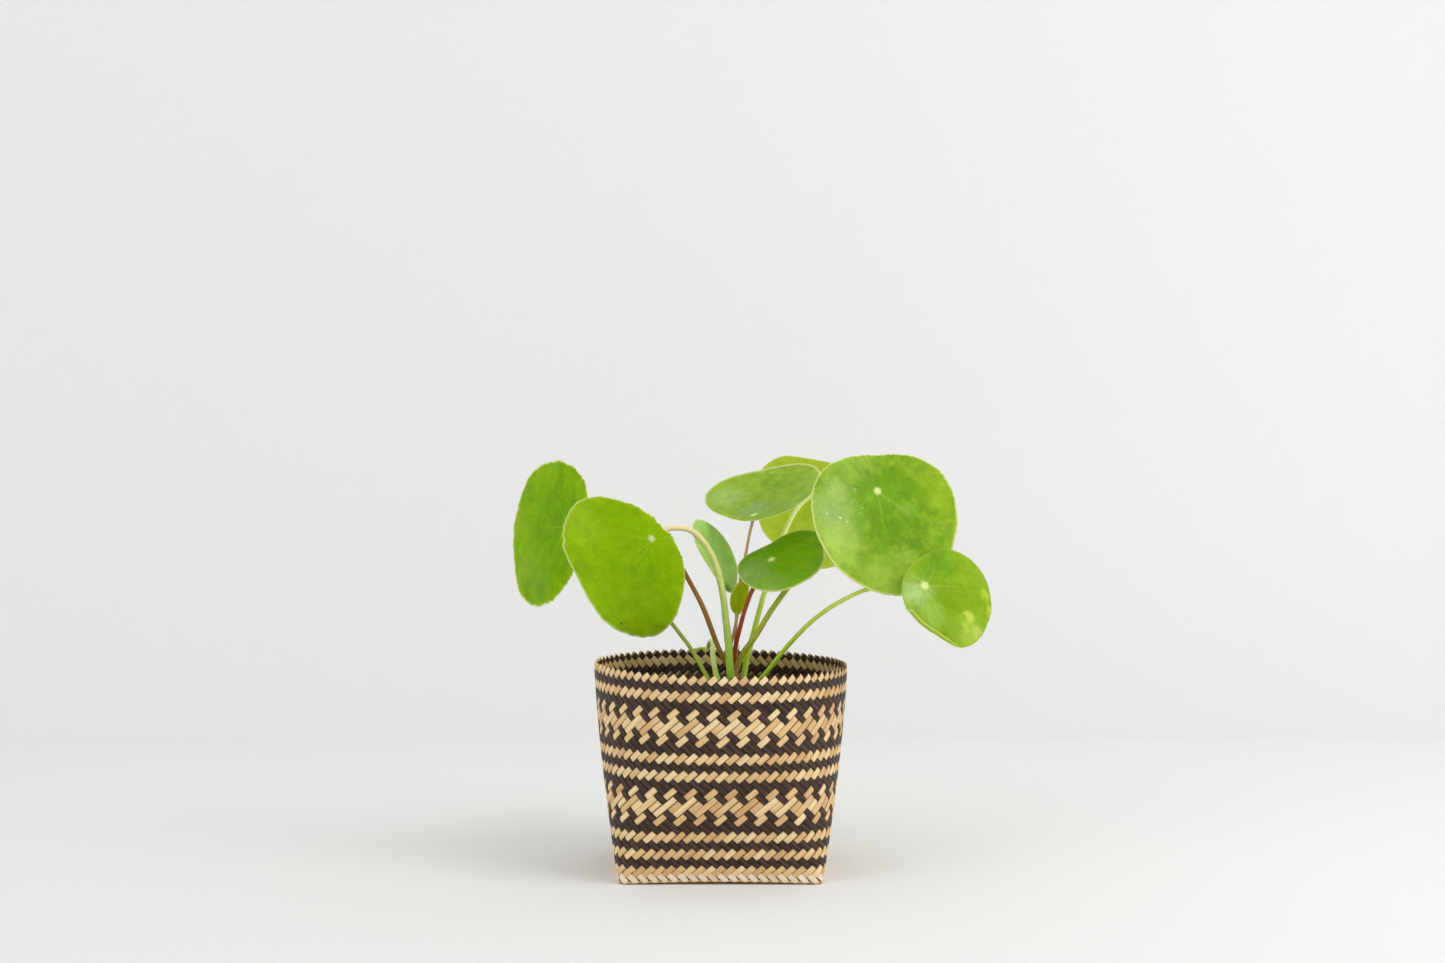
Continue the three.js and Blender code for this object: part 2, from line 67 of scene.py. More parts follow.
def fill(socket, value):
    """Set a socket to a number or a hex colour, or link a socket or a node's first output into it."""
    if isinstance(value, bpy.types.Node):
        value = next(output for output in value.outputs if output.enabled)
    if isinstance(value, bpy.types.NodeSocket):
        socket.id_data.links.new(value, socket)
    else:
        socket.default_value = linear(value) if isinstance(value, str) else value


def add_node(tree, kind, *values, stops=(), **given):
    """Add a node. The values fill its sockets in order, a name with a capital fills the socket of
    that name, any other name is a setting, and stops are a ramp's places and colours."""
    node = tree.nodes.new("ShaderNode" + kind)
    for name, value in given.items():
        if name.islower():
            setattr(node, name, value)
    for socket, value in zip([socket for socket in node.inputs if socket.enabled], values):
        fill(socket, value)
    for name, value in given.items():
        if not name.islower():
            fill(node.inputs[name.replace("_", " ")], value)
    for k, (place, colour) in enumerate(stops):
        points = node.color_ramp.elements
        point = points[k] if k < len(points) else points.new(place)
        point.position = place
        point.color = linear(colour)
    return node


def new_material(name):
    """An empty material, and the function that adds nodes to it."""
    material = bpy.data.materials.new(name)
    material.use_nodes = True
    material.node_tree.nodes.clear()
    return material, partial(add_node, material.node_tree)


def finish_piece(piece, slot, *nodes):
    """Let the piece ride on the plant, and hide the measured nodes that it stands for.

    The slot is not used.
    """
    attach(piece, BODY)
    if nodes:
        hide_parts(*nodes)
    return piece


# %% [markdown]
# ## Helpers for modelling
# A piece starts from a primitive and is shaped in edit mode. Points are picked by their place, so
# these helpers select by a rule, read and write all points at once, and apply modifiers.

# %% Modelling helpers
def active(piece):
    """Make the piece the only selected and the active object."""
    bpy.ops.object.select_all(action="DESELECT")
    piece.select_set(True)
    bpy.context.view_layer.objects.active = piece
    return piece


def named(name):
    """Name the object that was just added, and its mesh."""
    piece = bpy.context.object
    piece.name = name
    piece.data.name = name
    return piece


def points_of(piece):
    """The piece's points as an array of rows x, y, z."""
    flat = np.empty(3 * len(piece.data.vertices))
    piece.data.vertices.foreach_get("co", flat)
    return flat.reshape(-1, 3)


def move_points(piece, points):
    """Put the piece's points where the array says."""
    piece.data.vertices.foreach_set("co", np.asarray(points, float).ravel())
    piece.data.update()


def copy_of(piece, name):
    """A copy with a mesh of its own."""
    twin = piece.copy()
    twin.data = piece.data.copy()
    twin.name = twin.data.name = name
    bpy.context.collection.objects.link(twin)
    return twin


def joined(pieces, name):
    """All the pieces as one object."""
    bpy.ops.object.select_all(action="DESELECT")
    for piece in pieces:
        piece.select_set(True)
    bpy.context.view_layer.objects.active = pieces[0]
    bpy.ops.object.join()
    return named(name)


# %% Modifiers and shading
def modify(piece, kind, **settings):
    """Add a modifier with its settings and apply it."""
    active(piece)
    modifier = piece.modifiers.new(kind.title(), kind)
    for name, value in settings.items():
        setattr(modifier, name, value)
    bpy.ops.object.modifier_apply(modifier=modifier.name)


def smooth(piece, angle=180):
    """Shade smooth, apart from edges sharper than the angle in degrees."""
    active(piece)
    bpy.ops.object.shade_smooth_by_angle(angle=math.radians(angle))
    bpy.ops.object.select_all(action="DESELECT")


# %% Values and maps on points
def point_value(piece, name, values):
    """Store one number per point as a named attribute that a material can read."""
    attribute = piece.data.attributes.new(name, "FLOAT", "POINT")
    attribute.data.foreach_set("value", np.asarray(values, np.float32))


def flat_map(piece, name, across, along):
    """A UV map from two numbers per point."""
    layer = piece.data.uv_layers.new(name=name)
    corner = np.empty(len(piece.data.loops), int)
    piece.data.loops.foreach_get("vertex_index", corner)
    pairs = np.stack([np.asarray(across)[corner], np.asarray(along)[corner]], axis=1)
    layer.data.foreach_set("uv", pairs.astype(np.float32).ravel())


def smoothstep(x):
    """0 below 0 and 1 above 1, with a smooth climb between."""
    x = np.clip(x, 0, 1)
    return x * x * (3 - 2 * x)


# %% [markdown]
# ## The camera and the stage
# The photograph was taken from a little above the leaves with a long lens, so the basket shows its
# front and a thin slice of its inside. The stage is a pale table and a pale wall behind it. The
# wall's paint is clear from behind, so that the plant can also be looked at from there.

# %% Camera
LENS, SENSOR = 54, 36     # mm
CAMERA_AT = (0.001, -1.2, 0.236)
CAMERA_DOWN = 1.097       # degrees below level

bpy.ops.object.camera_add(location=CAMERA_AT, rotation=(math.radians(90 - CAMERA_DOWN), 0, 0))
camera = bpy.context.object
camera.data.lens = LENS
camera.data.sensor_width = SENSOR
bpy.context.scene.camera = camera
print("camera:", LENS, "mm lens,", -CAMERA_AT[1], "m in front of the basket's axis")

# %% Stage and light
WALL_BEHIND = 0.505       # the faint line where the table meets the wall
STAGE_HALF = 4.0
ROLLER_MARKS = 1.5        # noise cells to the metre
DAYLIGHT = 0.775          # strength of the white room


def stage_material(name, tint, one_sided=False):
    """Matt white paint: a plain diffuse surface, with a breath of unevenness from the roller."""
    material, add = new_material(name)
    marks = add("TexNoise", Vector=add("TexCoord").outputs["Object"], Scale=ROLLER_MARKS, Detail=2.0)
    paint = add("Mix", marks, tint, "#E9E9E8", data_type="RGBA")
    surface = add("BsdfPrincipled", Base_Color=paint, Roughness=0.9, Specular_IOR_Level=0.1)
    if one_sided:
        behind = add("NewGeometry").outputs["Backfacing"]
        surface = add("MixShader", behind, surface, add("BsdfTransparent"))
    add("OutputMaterial", Surface=surface)
    return material


bpy.ops.mesh.primitive_plane_add(size=2 * STAGE_HALF, location=(0, WALL_BEHIND - STAGE_HALF, 0))
table = named("stage_table")
table.data.materials.append(stage_material("white_table_paint", "#E9E9E8"))

bpy.ops.mesh.primitive_plane_add(size=2 * STAGE_HALF, location=(0, WALL_BEHIND, STAGE_HALF),
                                 rotation=(math.radians(90), 0, 0))
wall = named("stage_wall")
wall.data.materials.append(stage_material("white_wall_paint", "#E8E8E8", one_sided=True))

# %% Daylight
scene = bpy.context.scene
scene.view_settings.view_transform = "Standard"
scene.world = bpy.data.worlds.new("daylight_room")
scene.world.use_nodes = True
sky = scene.world.node_tree.nodes["Background"]
fill(sky.inputs["Color"], "#FFFFFF")
fill(sky.inputs["Strength"], DAYLIGHT)


def window(name, place, target, size, watts):
    """A large soft light that looks at a point; its place and its size are in metres."""
    bpy.ops.object.light_add(type="AREA", location=place)
    lamp = bpy.context.object
    lamp.name = name
    lamp.data.shape = "DISK"
    lamp.data.size = size
    lamp.data.energy = watts
    lamp.rotation_euler = (Vector(target) - Vector(place)).to_track_quat("-Z", "Y").to_euler()


window("window_right", (1.5, -0.9, 1.7), (0, 0, 0.1), size=1.3, watts=15)
window("window_left", (-1.6, -1.4, 1.2), (0, 0, 0.1), size=1.6, watts=8)
window("window_side", (1.0, -0.3, 0.5), (0, -0.35, 0.05), size=0.6, watts=1.5)
print("stage: a table, a wall", WALL_BEHIND, "m behind the axis, daylight and three windows")

# %% [markdown]
# ## The basket's wall
# The real basket is plaited on the bias: eighty natural strips climb to the right and eighty dyed
# ones to the left, and each passes over or under the other set by a rule that draws the bands. The
# base is square, and because the strips keep their spacing the wall opens into a circle at the rim.
# Relief on a smooth wall would be quicker, but real strips give the true edges, shadows and
# sawtooth rim, so one strip is modelled and its copies are led along the lattice.

# %% Basket sizes
BASKET_HEIGHT = 110 * MM      # table to the middle of the rim's folded squares
RIM_RADIUS = 69.2 * MM
BASE_HALF = 53.8 * MM
BASE_CORNER = 3.5 * MM
FLARE = 1.42
STRIPS = 80                   # in each direction
TABLE_ROW = 46.6              # the row of crossings that lies on the table
FOLD_ROW = 46.0               # here the wall starts to turn under the base
LAST_ROW = 48.3
FOOT_RADIUS = 1.5 * MM
WEAVE_LEVEL = 0.75 * MM       # middle of the weave above the table, under the base
FRONT_SHIFT = 0.27            # half columns that the pattern sits to the right of the front
TWIST = 0.0255                # half columns that it drifts to the left in each row
RIM_TILT = (-0.013, 0.010)    # the rim is a little higher at the left and at the back
FOOT_ARCH = 1.3 * MM          # the base's edges lift between its corners
ARCH_FADE = 6 * MM            # and this lift fades with height
SHARPEST = 0.3 * MM           # no corner is sharper
STRIP_THICKNESS = 0.36 * MM
STRIP_LIFT = 0.36 * MM        # a strip's distance from the middle of the weave
ROW_PITCH = BASKET_HEIGHT / TABLE_ROW
# Rows from rim to table: N natural strips on top, D dyed ones, O and E natural on odd or even strips
WEAVE = "NDDNNDDOOENNEOODDNNDDNNDDEEONNOEEDDNNDDNNDDNNDDNN"

SQUARE_EXTRA = 8 - TURN       # girth that a square has more than its inner circle, per radius
BASE_GIRTH = 8 * BASE_HALF - SQUARE_EXTRA * BASE_CORNER
RIM_GIRTH = TURN * RIM_RADIUS
print("basket:", STRIPS, "strips each way,", round(ROW_PITCH / MM, 2), "mm from row to row")


# %% The wall's shape
def section_point(share, half, corner, inset):
    """A point on a square with round corners, and how near it is to a corner, from 0 to 1.

    Share is the way round the square from the middle of its +X side."""
    half = half - inset
    corner = np.minimum(np.maximum(corner - inset, SHARPEST), half)
    straight = half - corner
    side = np.round(4 * share)
    along = (4 * share - side) * (2 * straight + math.pi / 2 * corner)
    turn = np.maximum(0, np.abs(along) - straight) / corner
    out = straight + corner * np.cos(turn)
    across = np.sign(along) * (np.minimum(np.abs(along), straight) + corner * np.sin(turn))
    quarter = math.pi / 2 * side
    x = out * np.cos(quarter) - across * np.sin(quarter)
    y = out * np.sin(quarter) + across * np.cos(quarter)
    return x, y, np.abs(4 * share - side) * 2


def weave_point(column, row):
    """Where a crossing lies: columns are half steps round the basket, rows count down from the rim."""
    share = (column + FRONT_SHIFT - TWIST * row) / (2 * STRIPS)
    fold = np.maximum(0, row - FOLD_ROW) * ROW_PITCH
    bend = np.minimum(fold / FOOT_RADIUS, math.pi / 2)
    under = fold - bend * FOOT_RADIUS
    height_at_fold = (TABLE_ROW - FOLD_ROW) * ROW_PITCH
    z = BASKET_HEIGHT - np.minimum(row, FOLD_ROW) * ROW_PITCH
    z = z - (height_at_fold - WEAVE_LEVEL) * np.sin(bend)
    inset = FOOT_RADIUS * (1 - np.cos(bend)) + under
    t = np.clip(z / BASKET_HEIGHT, 0, 1)
    half = BASE_HALF + (RIM_RADIUS - BASE_HALF) * (1 - (1 - t) ** FLARE)
    girth = BASE_GIRTH + (RIM_GIRTH - BASE_GIRTH) * t
    corner = np.maximum(BASE_CORNER, (8 * half - girth) / SQUARE_EXTRA)
    x, y, from_middle = section_point(share, half, corner, inset)
    z = z + (RIM_TILT[0] * x + RIM_TILT[1] * y) * t
    z = z + FOOT_ARCH * (1 - from_middle ** 2) * np.exp(-z / ARCH_FADE)
    return np.stack([x, y, z], axis=-1)


def natural_on_top(strip, row):
    """Whether the natural strip of this number passes over the dyed one in this row."""
    kind = np.array(list(WEAVE))[np.clip(row, 0, len(WEAVE) - 1)]
    odd = strip % 2 == 1
    return (kind == "N") | ((kind == "O") & odd) | ((kind == "E") & ~odd)


def unit(vectors):
    """The same directions, one long."""
    return vectors / np.linalg.norm(vectors, axis=-1, keepdims=True)


# %% One strip, modelled flat
STRIP_STEPS = 146
RIM_END = {1: -0.88, -1: -0.56}  # rows above the first crossing where the strips of each leaning end
RIM_TURN = 0.22               # rows over which the two sets close on each other at the rim
CROWN = 0.22 * MM             # a split stem is rounded across
FLOAT_BEND = 0.66             # share of a row in which a strip dips under the next
NATURAL_WIDTH = (0.87, 0.97)  # strips' widths as shares of their spacing: dark gaps between these
DYED_WIDTH = (1.00, 1.03)     # and none between these
WANDER = {1: 0.04, -1: 0.015}  # share of the spacing by which a strip strays to either side
DYE_ENDS = 43.5               # the row where the dye stops, hidden under a natural band
FOOT_WIDTH = 0.80             # the strips are narrower below it
MAP_ROWS = 100                # rows to one unit of a strip's own map


def flat_strip(name, steps):
    """A strip one unit long and wide, with its true thickness, crowned along its middle."""
    bpy.ops.mesh.primitive_grid_add(x_subdivisions=steps, y_subdivisions=3, size=1)
    strip = named(name)
    modify(strip, "SOLIDIFY", thickness=STRIP_THICKNESS, offset=0)
    points = points_of(strip)
    middle = 1 - (2 * points[:, 1]) ** 2
    points[:, 2] += np.sign(points[:, 2]) * CROWN * middle
    move_points(strip, points)
    return strip


def over_under(place, side, bend):
    """From 1 over to -1 under: side tells which at a crossing, bend is the share in which it changes."""
    before = np.floor(place).astype(int)
    blend = smoothstep((place - before - 0.5) / bend + 0.5)
    return (1 - blend) * side(before) + blend * side(before + 1)


def strand_map(strip, run, number, across):
    """Map a strip: how far it has run, and its number plus the place across it, kept off the seam."""
    flat_map(strip, "strand", run, number + 0.02 + 0.96 * (across + 0.5))


def lead_strip(strip, number, leaning, draw):
    """Lead a flat strip along the wall: leaning +1 climbs to the right (natural), -1 to the left."""
    points = points_of(strip)
    start = RIM_END[leaning]
    row = start + (points[:, 0] + 0.5) * (LAST_ROW - start)
    column = 2 * number - leaning * row
    step = 0.02
    centre = weave_point(column, row)
    ahead = unit(weave_point(column - leaning * step, row + step)
                 - weave_point(column + leaning * step, row - step))
    sideways = weave_point(column + leaning * step, row + step) - weave_point(
        column - leaning * step, row - step)
    outward = unit(np.cross(ahead, sideways) * leaning)
    across = unit(np.cross(outward, ahead))
    spacing = np.abs(np.sum(sideways * across, axis=1)) / (2 * step)

    def side(at):
        """1 where the strip lies outside the other set at this row, -1 where it lies inside."""
        strip_number = number if leaning > 0 else number + at
        return np.where(natural_on_top(strip_number, at), 1.0, -1.0) * leaning

    height = STRIP_LIFT * over_under(row, side, FLOAT_BEND)
    rim_fold = smoothstep((start + RIM_TURN - row) / RIM_TURN)
    height = height * (1 - rim_fold) - STRIP_LIFT * 0.5 * rim_fold * leaning
    wander = WANDER[leaning] * np.sin(row * draw.uniform(0.15, 0.35) + draw.uniform(0, TURN))
    width = spacing * draw.uniform(*(NATURAL_WIDTH if leaning > 0 else DYED_WIDTH))
    if leaning < 0:
        width = width * (1 - (1 - FOOT_WIDTH) * smoothstep(row - DYE_ENDS))
    offset = points[:, 1] * width + spacing * wander
    led = centre + across * offset[:, None] + outward * (height + points[:, 2])[:, None]
    move_points(strip, led)
    strand_map(strip, row / MAP_ROWS, number, points[:, 1])
    return strip


# %% All the strips
draw = random.Random(11)
master = flat_strip("strip_master", STRIP_STEPS)
natural = [lead_strip(copy_of(master, f"natural_{i}"), i, 1, draw) for i in range(STRIPS)]
dyed = [lead_strip(copy_of(master, f"dyed_{i}"), i, -1, draw) for i in range(STRIPS)]
basket_natural = joined(natural, "basket_natural_strips")
basket_dyed = joined(dyed, "basket_dyed_strips")
bpy.data.objects.remove(master)
for piece in (basket_natural, basket_dyed):
    smooth(piece, 50)
    print(piece.name, len(piece.data.polygons), "faces")

# %% [markdown]
# ## The basket's base
# Under the pot the strips run on across the base, all undyed, and cross each other at right angles.
# The same flat strip is used again, shorter, over two and under two.

# %% Base mat
MAT_HALF = BASE_HALF - 2.0 * MM
MAT_SPACING = 2 * BASE_HALF / (STRIPS / 4) / math.sqrt(2)
MAT_DOME = 0.9 * MM
MAT_LIFT = 0.9 * STRIP_LIFT   # the strips lie a little closer than in the wall
MAT_BEND = 0.8                # share of a crossing in which a strip dips under the next
MAT_MAP = 236 * MM            # length to one unit of the map, about a hundred rows of the wall


def mat_strips(direction, draw):
    """The base's strips in one diagonal direction, +1 or -1."""
    strips = []
    reach_of_all = math.sqrt(2) * MAT_HALF
    count = int(reach_of_all / MAT_SPACING)
    for k in range(-count, count + 1):
        offset = k * MAT_SPACING
        reach = reach_of_all - abs(offset)
        if reach < MAT_SPACING:
            continue
        strip = copy_of(mat_master, f"mat_{direction}_{k}")
        points = points_of(strip)
        along = points[:, 0] * 2 * reach

        def side(at):
            """1 where the strip lies above the other set at this crossing, -1 where it lies below."""
            over = ((at + direction * k) % 4) < 2
            return np.where(over, 1.0, -1.0) * direction

        height = MAT_LIFT * over_under(along / MAT_SPACING, side, MAT_BEND)
        offsets = offset + points[:, 1] * (MAT_SPACING * draw.uniform(0.9, 0.99))
        x = (along - direction * offsets) / math.sqrt(2)
        y = (direction * along + offsets) / math.sqrt(2)
        edge = np.maximum(np.abs(x), np.abs(y)) / MAT_HALF
        middle = np.minimum(np.abs(x), np.abs(y)) / MAT_HALF
        arch = FOOT_ARCH * (1 - np.clip(middle, 0, 1) ** 2) * np.exp(-WEAVE_LEVEL / ARCH_FADE)
        z = WEAVE_LEVEL + arch * np.clip(edge, 0, 1) ** 2 + MAT_DOME * np.clip(1 - edge ** 2, 0, 1)
        move_points(strip, np.stack([x, y, z + height + points[:, 2]], axis=-1))
        strand_map(strip, along / MAT_MAP, k + 100 * direction, points[:, 1])
        strips.append(strip)
    return strips


mat_master = flat_strip("mat_master", 84)
base_mat = joined(mat_strips(1, draw) + mat_strips(-1, draw), "basket_base_mat")
bpy.data.objects.remove(mat_master)
smooth(base_mat, 50)
print(base_mat.name, len(base_mat.data.polygons), "faces")

# %% [markdown]
# ## Finish of the strips
# The strips are split from a palm-like leaf stem, so fine fibres run along them. The natural ones
# dry to a straw colour that differs from strip to strip, and a few go orange. The dyed ones are
# steeped nearly black and keep a soft satin gloss. The dye stops near the table, where the same
# strips are pale again. The pattern follows each strip through its own map: the first number
# counts rows down the wall, the second is the strip's number and the place across it.

# %% Strip finishes
FIBRES_ACROSS = 9             # the eye sees about nine fibres on a 3.4 mm strip
FIBRE_RUN = 9                 # noise cells along 236 mm, so a fibre reads about 25 mm long
STAIN_RUN = 16                # noise cells of the slow stains along the same length
FOOT_TAN = (45.9, 46.3)       # rows between which the pale ends turn tan, scuffed on the table
# Where the natural strips are hidden from outside, rows between which they are painted dark: a darker
# band seen from inside just under the rim, and painted shade in the slits between the pale ends at the foot
DARK_ROWS = [(4.5, 4.9, 6.3, 6.6), (44.6, 44.8, 46.1, 46.4)]


def strip_material(name, straw, deep, blush, edge, roughness, gloss, dyed=None):
    """Split-stem fibre: tints per strip, lengthwise fibres, slow stains and darker edges, partly worn and
    partly painted shade.

    The edge is the share of the width where this darkening starts, its strength and its tint."""
    material, add = new_material(name)
    split = add("SeparateXYZ", add("UVMap", uv_map="strand"))
    run, strip = split.outputs["X"], split.outputs["Y"]
    number = add("Math", strip, operation="FLOOR")
    chance = add("TexWhiteNoise", W=number, noise_dimensions="1D")
    grain = add("CombineXYZ", add("Math", run, FIBRE_RUN, operation="MULTIPLY"),
                add("Math", strip, FIBRES_ACROSS, operation="MULTIPLY"))
    fibre = add("TexNoise", Vector=grain, Scale=1.0, Detail=3.0, Roughness=0.65)
    drift = add("CombineXYZ", add("Math", run, STAIN_RUN, operation="MULTIPLY"), number)
    stain = add("TexNoise", Vector=drift, Scale=1.0, Detail=2.0)

    colour = add("ValToRGB", chance, stops=straw)
    darker = add("MapRange", fibre, 0.42, 0.68, 0.0, 0.55)
    colour = add("Mix", darker, colour, deep, data_type="RGBA")
    patch = add("MapRange", stain, 0.52, 0.72, 0.0, 0.6)
    colour = add("Mix", patch, colour, blush, data_type="RGBA")
    across = add("Math", add("Math", strip, operation="FRACT"), 0.5, operation="SUBTRACT")
    darkening_from, edge_darkening, edge_dark_tint = edge
    # darker towards each strip's edges: worn, and painted shade where the crowned strip turns down
    edge_shade_and_wear = add("MapRange", add("Math", across, operation="ABSOLUTE"), darkening_from, 0.49, 0.0, edge_darkening)
    if dyed:
        black, faded, pale = dyed
        steeped = add("Mix", add("MapRange", fibre, 0.42, 0.70, 0.0, 0.8), black, faded, data_type="RGBA")
        tone = add("MapRange", chance, 0.0, 1.0, 0.0, 0.45)
        steeped = add("Mix", tone, steeped, pale, data_type="RGBA")
        # painted shade in the dark creases along the dyed strips' edges
        steeped = add("Mix", edge_shade_and_wear, steeped, edge_dark_tint, data_type="RGBA")
        undyed = add("Math", run, DYE_ENDS / MAP_ROWS, operation="GREATER_THAN")
        colour = add("Mix", undyed, steeped, colour, data_type="RGBA")
        scuffed = add("MapRange", run, FOOT_TAN[0] / MAP_ROWS, FOOT_TAN[1] / MAP_ROWS, 0.0, 0.9)
        colour = add("Mix", scuffed, colour, "#ECB878", data_type="RGBA")
    else:
        # worn edges and painted shade along the natural strips
        colour = add("Mix", edge_shade_and_wear, colour, edge_dark_tint, data_type="RGBA")
        # a darker band inside under the rim, and painted shade in the slits at the foot
        for start, full, fading, end in DARK_ROWS:
            into = add("MapRange", run, start / MAP_ROWS, full / MAP_ROWS, 0.0, 0.9)
            out = add("MapRange", run, fading / MAP_ROWS, end / MAP_ROWS, 1.0, 0.0)
            dark = add("Math", into, out, operation="MULTIPLY")
            colour = add("Mix", dark, colour, "#1C1410", data_type="RGBA")
    rough = add("MapRange", fibre, 0.3, 0.7, roughness - 0.07, roughness + 0.1)
    bump = add("Bump", Strength=0.5, Distance=0.12 * MM, Height=fibre)
    add("OutputMaterial", Surface=add("BsdfPrincipled", Base_Color=colour, Roughness=rough, Normal=bump,
                                      Specular_IOR_Level=gloss))
    return material


# %% Natural and dyed strips
# The tuples of three say where the edge darkening starts, its strength and its tint: worn edges and painted
# shade on the natural strips, painted shade on the dyed ones
natural_fibre = strip_material(
    "natural_split_fibre", [(0.0, "#F8DEAC"), (0.4, "#EECE96"), (0.75, "#E4BE86"), (1.0, "#D8AA76")],
    "#A87A46", "#E9D6A8", (0.37, 0.7, "#94703F"), roughness=0.55, gloss=0.4)
dyed_fibre = strip_material(
    "dyed_split_fibre", [(0.0, "#FFF2DC"), (0.5, "#F8E4C8"), (1.0, "#ECD2B0")],
    "#B08D6C", "#E8D8C2", (0.22, 0.85, "#120B08"), roughness=0.48, gloss=0.2,
    dyed=("#281A14", "#7C6250", "#3C2C24"))
for piece, fibre in ((basket_natural, natural_fibre), (basket_dyed, dyed_fibre), (base_mat, natural_fibre)):
    piece.data.materials.append(fibre)
    finish_piece(piece, "woven_strands", "woven_basket")
print("strips finished as", natural_fibre.name, "and", dyed_fibre.name)

# %% [markdown]
# ## The nursery pot
# Inside the basket stands the thin plastic pot that the plant was sold in. It is moulded: a tapered
# wall, a stepped rim and drain holes. A turned shape can be grown ring by ring, the way a potter
# raises a wall: a circle is extruded, and each new ring is widened and lifted.

# %% Ring by ring
def raise_rings(name, sides, profile):
    """Grow a shell from a circle: profile lists each ring's radius and height; radius 0 closes it."""
    radius, height = profile[0]
    bpy.ops.mesh.primitive_circle_add(vertices=sides, radius=radius, location=(0, 0, 0))
    shell = named(name)
    bpy.ops.object.mode_set(mode="EDIT")
    bpy.ops.mesh.select_all(action="SELECT")
    bpy.ops.transform.translate(value=(0, 0, height))
    for new_radius, new_height in profile[1:]:
        bpy.ops.mesh.extrude_edges_move(TRANSFORM_OT_translate={"value": (0, 0, new_height - height)})
        if new_radius == 0:
            bpy.ops.mesh.merge(type="CENTER")
            break
        ratio = new_radius / radius
        bpy.ops.transform.resize(value=(ratio, ratio, 1), center_override=(0, 0, new_height))
        radius, height = new_radius, new_height
    bpy.ops.object.mode_set(mode="OBJECT")
    return shell


def close_rings(shell):
    """Put a face into each open ring of a shell."""
    active(shell)
    bpy.ops.object.mode_set(mode="EDIT")
    bpy.ops.mesh.select_mode(type="EDGE")
    bpy.ops.mesh.select_all(action="DESELECT")
    bpy.ops.mesh.select_non_manifold()
    bpy.ops.mesh.edge_face_add()
    bpy.ops.object.mode_set(mode="OBJECT")


def outward(piece):
    """Merge doubles and point all faces out."""
    active(piece)
    bpy.ops.object.mode_set(mode="EDIT")
    bpy.ops.mesh.select_all(action="SELECT")
    bpy.ops.mesh.remove_doubles(threshold=0.001 * MM)
    bpy.ops.mesh.normals_make_consistent(inside=False)
    bpy.ops.object.mode_set(mode="OBJECT")


# %% Nursery pot
POT_FLOOR = 2.9 * MM
POT_WALL = 1.0 * MM
POT_BOTTOM, POT_TOP, POT_LIP = 43 * MM, 54.5 * MM, 56.9 * MM
POT_HEIGHT, LIP_HEIGHT = 88 * MM, 8 * MM
DRAINS, DRAIN_RADIUS, DRAIN_CIRCLE = 6, 3.5 * MM, 30 * MM
POT_EDGE = POT_FLOOR + POT_HEIGHT

pot_profile = [
    (POT_BOTTOM - 1.2 * MM, POT_FLOOR), (POT_BOTTOM, POT_FLOOR + 1.2 * MM),
    (POT_TOP, POT_EDGE - LIP_HEIGHT), (POT_LIP - 0.4 * MM, POT_EDGE - LIP_HEIGHT),
    (POT_LIP, POT_EDGE - LIP_HEIGHT + 0.4 * MM), (POT_LIP, POT_EDGE - 0.5 * MM),
    (POT_LIP - 0.5 * MM, POT_EDGE), (POT_LIP - POT_WALL, POT_EDGE),
    (POT_LIP - POT_WALL - 0.1 * MM, POT_EDGE - 0.5 * MM),
    (POT_TOP - POT_WALL + 0.3 * MM, POT_EDGE - LIP_HEIGHT + 0.6 * MM),
    (POT_TOP - POT_WALL, POT_EDGE - LIP_HEIGHT), (POT_BOTTOM - POT_WALL, POT_FLOOR + 1.6 * MM),
]
pot = raise_rings("nursery_pot_wall", 96, pot_profile)
close_rings(pot)
modify(pot, "TRIANGULATE", min_vertices=5)
outward(pot)
for k in range(DRAINS):
    bearing = TURN * k / DRAINS
    bpy.ops.mesh.primitive_cylinder_add(
        vertices=24, radius=DRAIN_RADIUS, depth=6 * MM,
        location=(DRAIN_CIRCLE * math.cos(bearing), DRAIN_CIRCLE * math.sin(bearing), POT_FLOOR))
    drill = bpy.context.object
    modify(pot, "BOOLEAN", object=drill, operation="DIFFERENCE", solver="EXACT")
    bpy.data.objects.remove(drill)
smooth(pot, 35)
print(pot.name, len(pot.data.polygons), "faces")


# %% Pot finish
def moulded_plastic(name, tint):
    """Polypropylene, injection moulded: a dull even black with a fine spark-eroded grain."""
    material, add = new_material(name)
    place = add("TexCoord").outputs["Object"]
    grain = add("TexNoise", Vector=place, Scale=1 / (0.8 * MM), Detail=2.0)
    dust = add("TexNoise", Vector=place, Scale=1 / (14 * MM), Detail=4.0)
    colour = add("Mix", add("MapRange", dust, 0.5, 0.75, 0.0, 0.35), tint, "#5A4A3C", data_type="RGBA")
    rough = add("MapRange", dust, 0.0, 1.0, 0.42, 0.68)
    bump = add("Bump", Strength=0.15, Distance=0.05 * MM, Height=grain)
    add("OutputMaterial", Surface=add("BsdfPrincipled", Base_Color=colour, Roughness=rough, Normal=bump))
    return material


pot.data.materials.append(moulded_plastic("black_moulded_polypropylene", "#262322"))
finish_piece(pot, "pot_plastic", "nursery_pot")

# %% [markdown]
# ## The soil
# Potting soil is peat with bits of bark and white perlite. The bulk is one tapered body whose top is
# inset ring by ring and then raised in lumps, and the crumbs on it are a few small stones, copied
# many times with their own turn and size.

# %% Soil body
SOIL_TOP = 84 * MM
SOIL_RADIUS = 52.4 * MM
SOIL_FOOT = 41.2 * MM
SOIL_FLOOR = POT_FLOOR + 1.9 * MM
SOIL_RINGS = 26
LUMPS, CRUMBLE = 0.9 * MM, 1.1 * MM  # height of the soil's broad lumps and of its fine ones


def soil_level(x, y):
    """The lumpy height of the soil's top at a place."""
    lump = LUMPS * math.sin(310 * x + 1.7 * math.sin(230 * y)) * math.cos(370 * y)
    fine = noise.fractal(Vector((x, y, 0.3)) / (7 * MM), 1.0, 2.0, 4)
    return SOIL_TOP + lump + CRUMBLE * fine


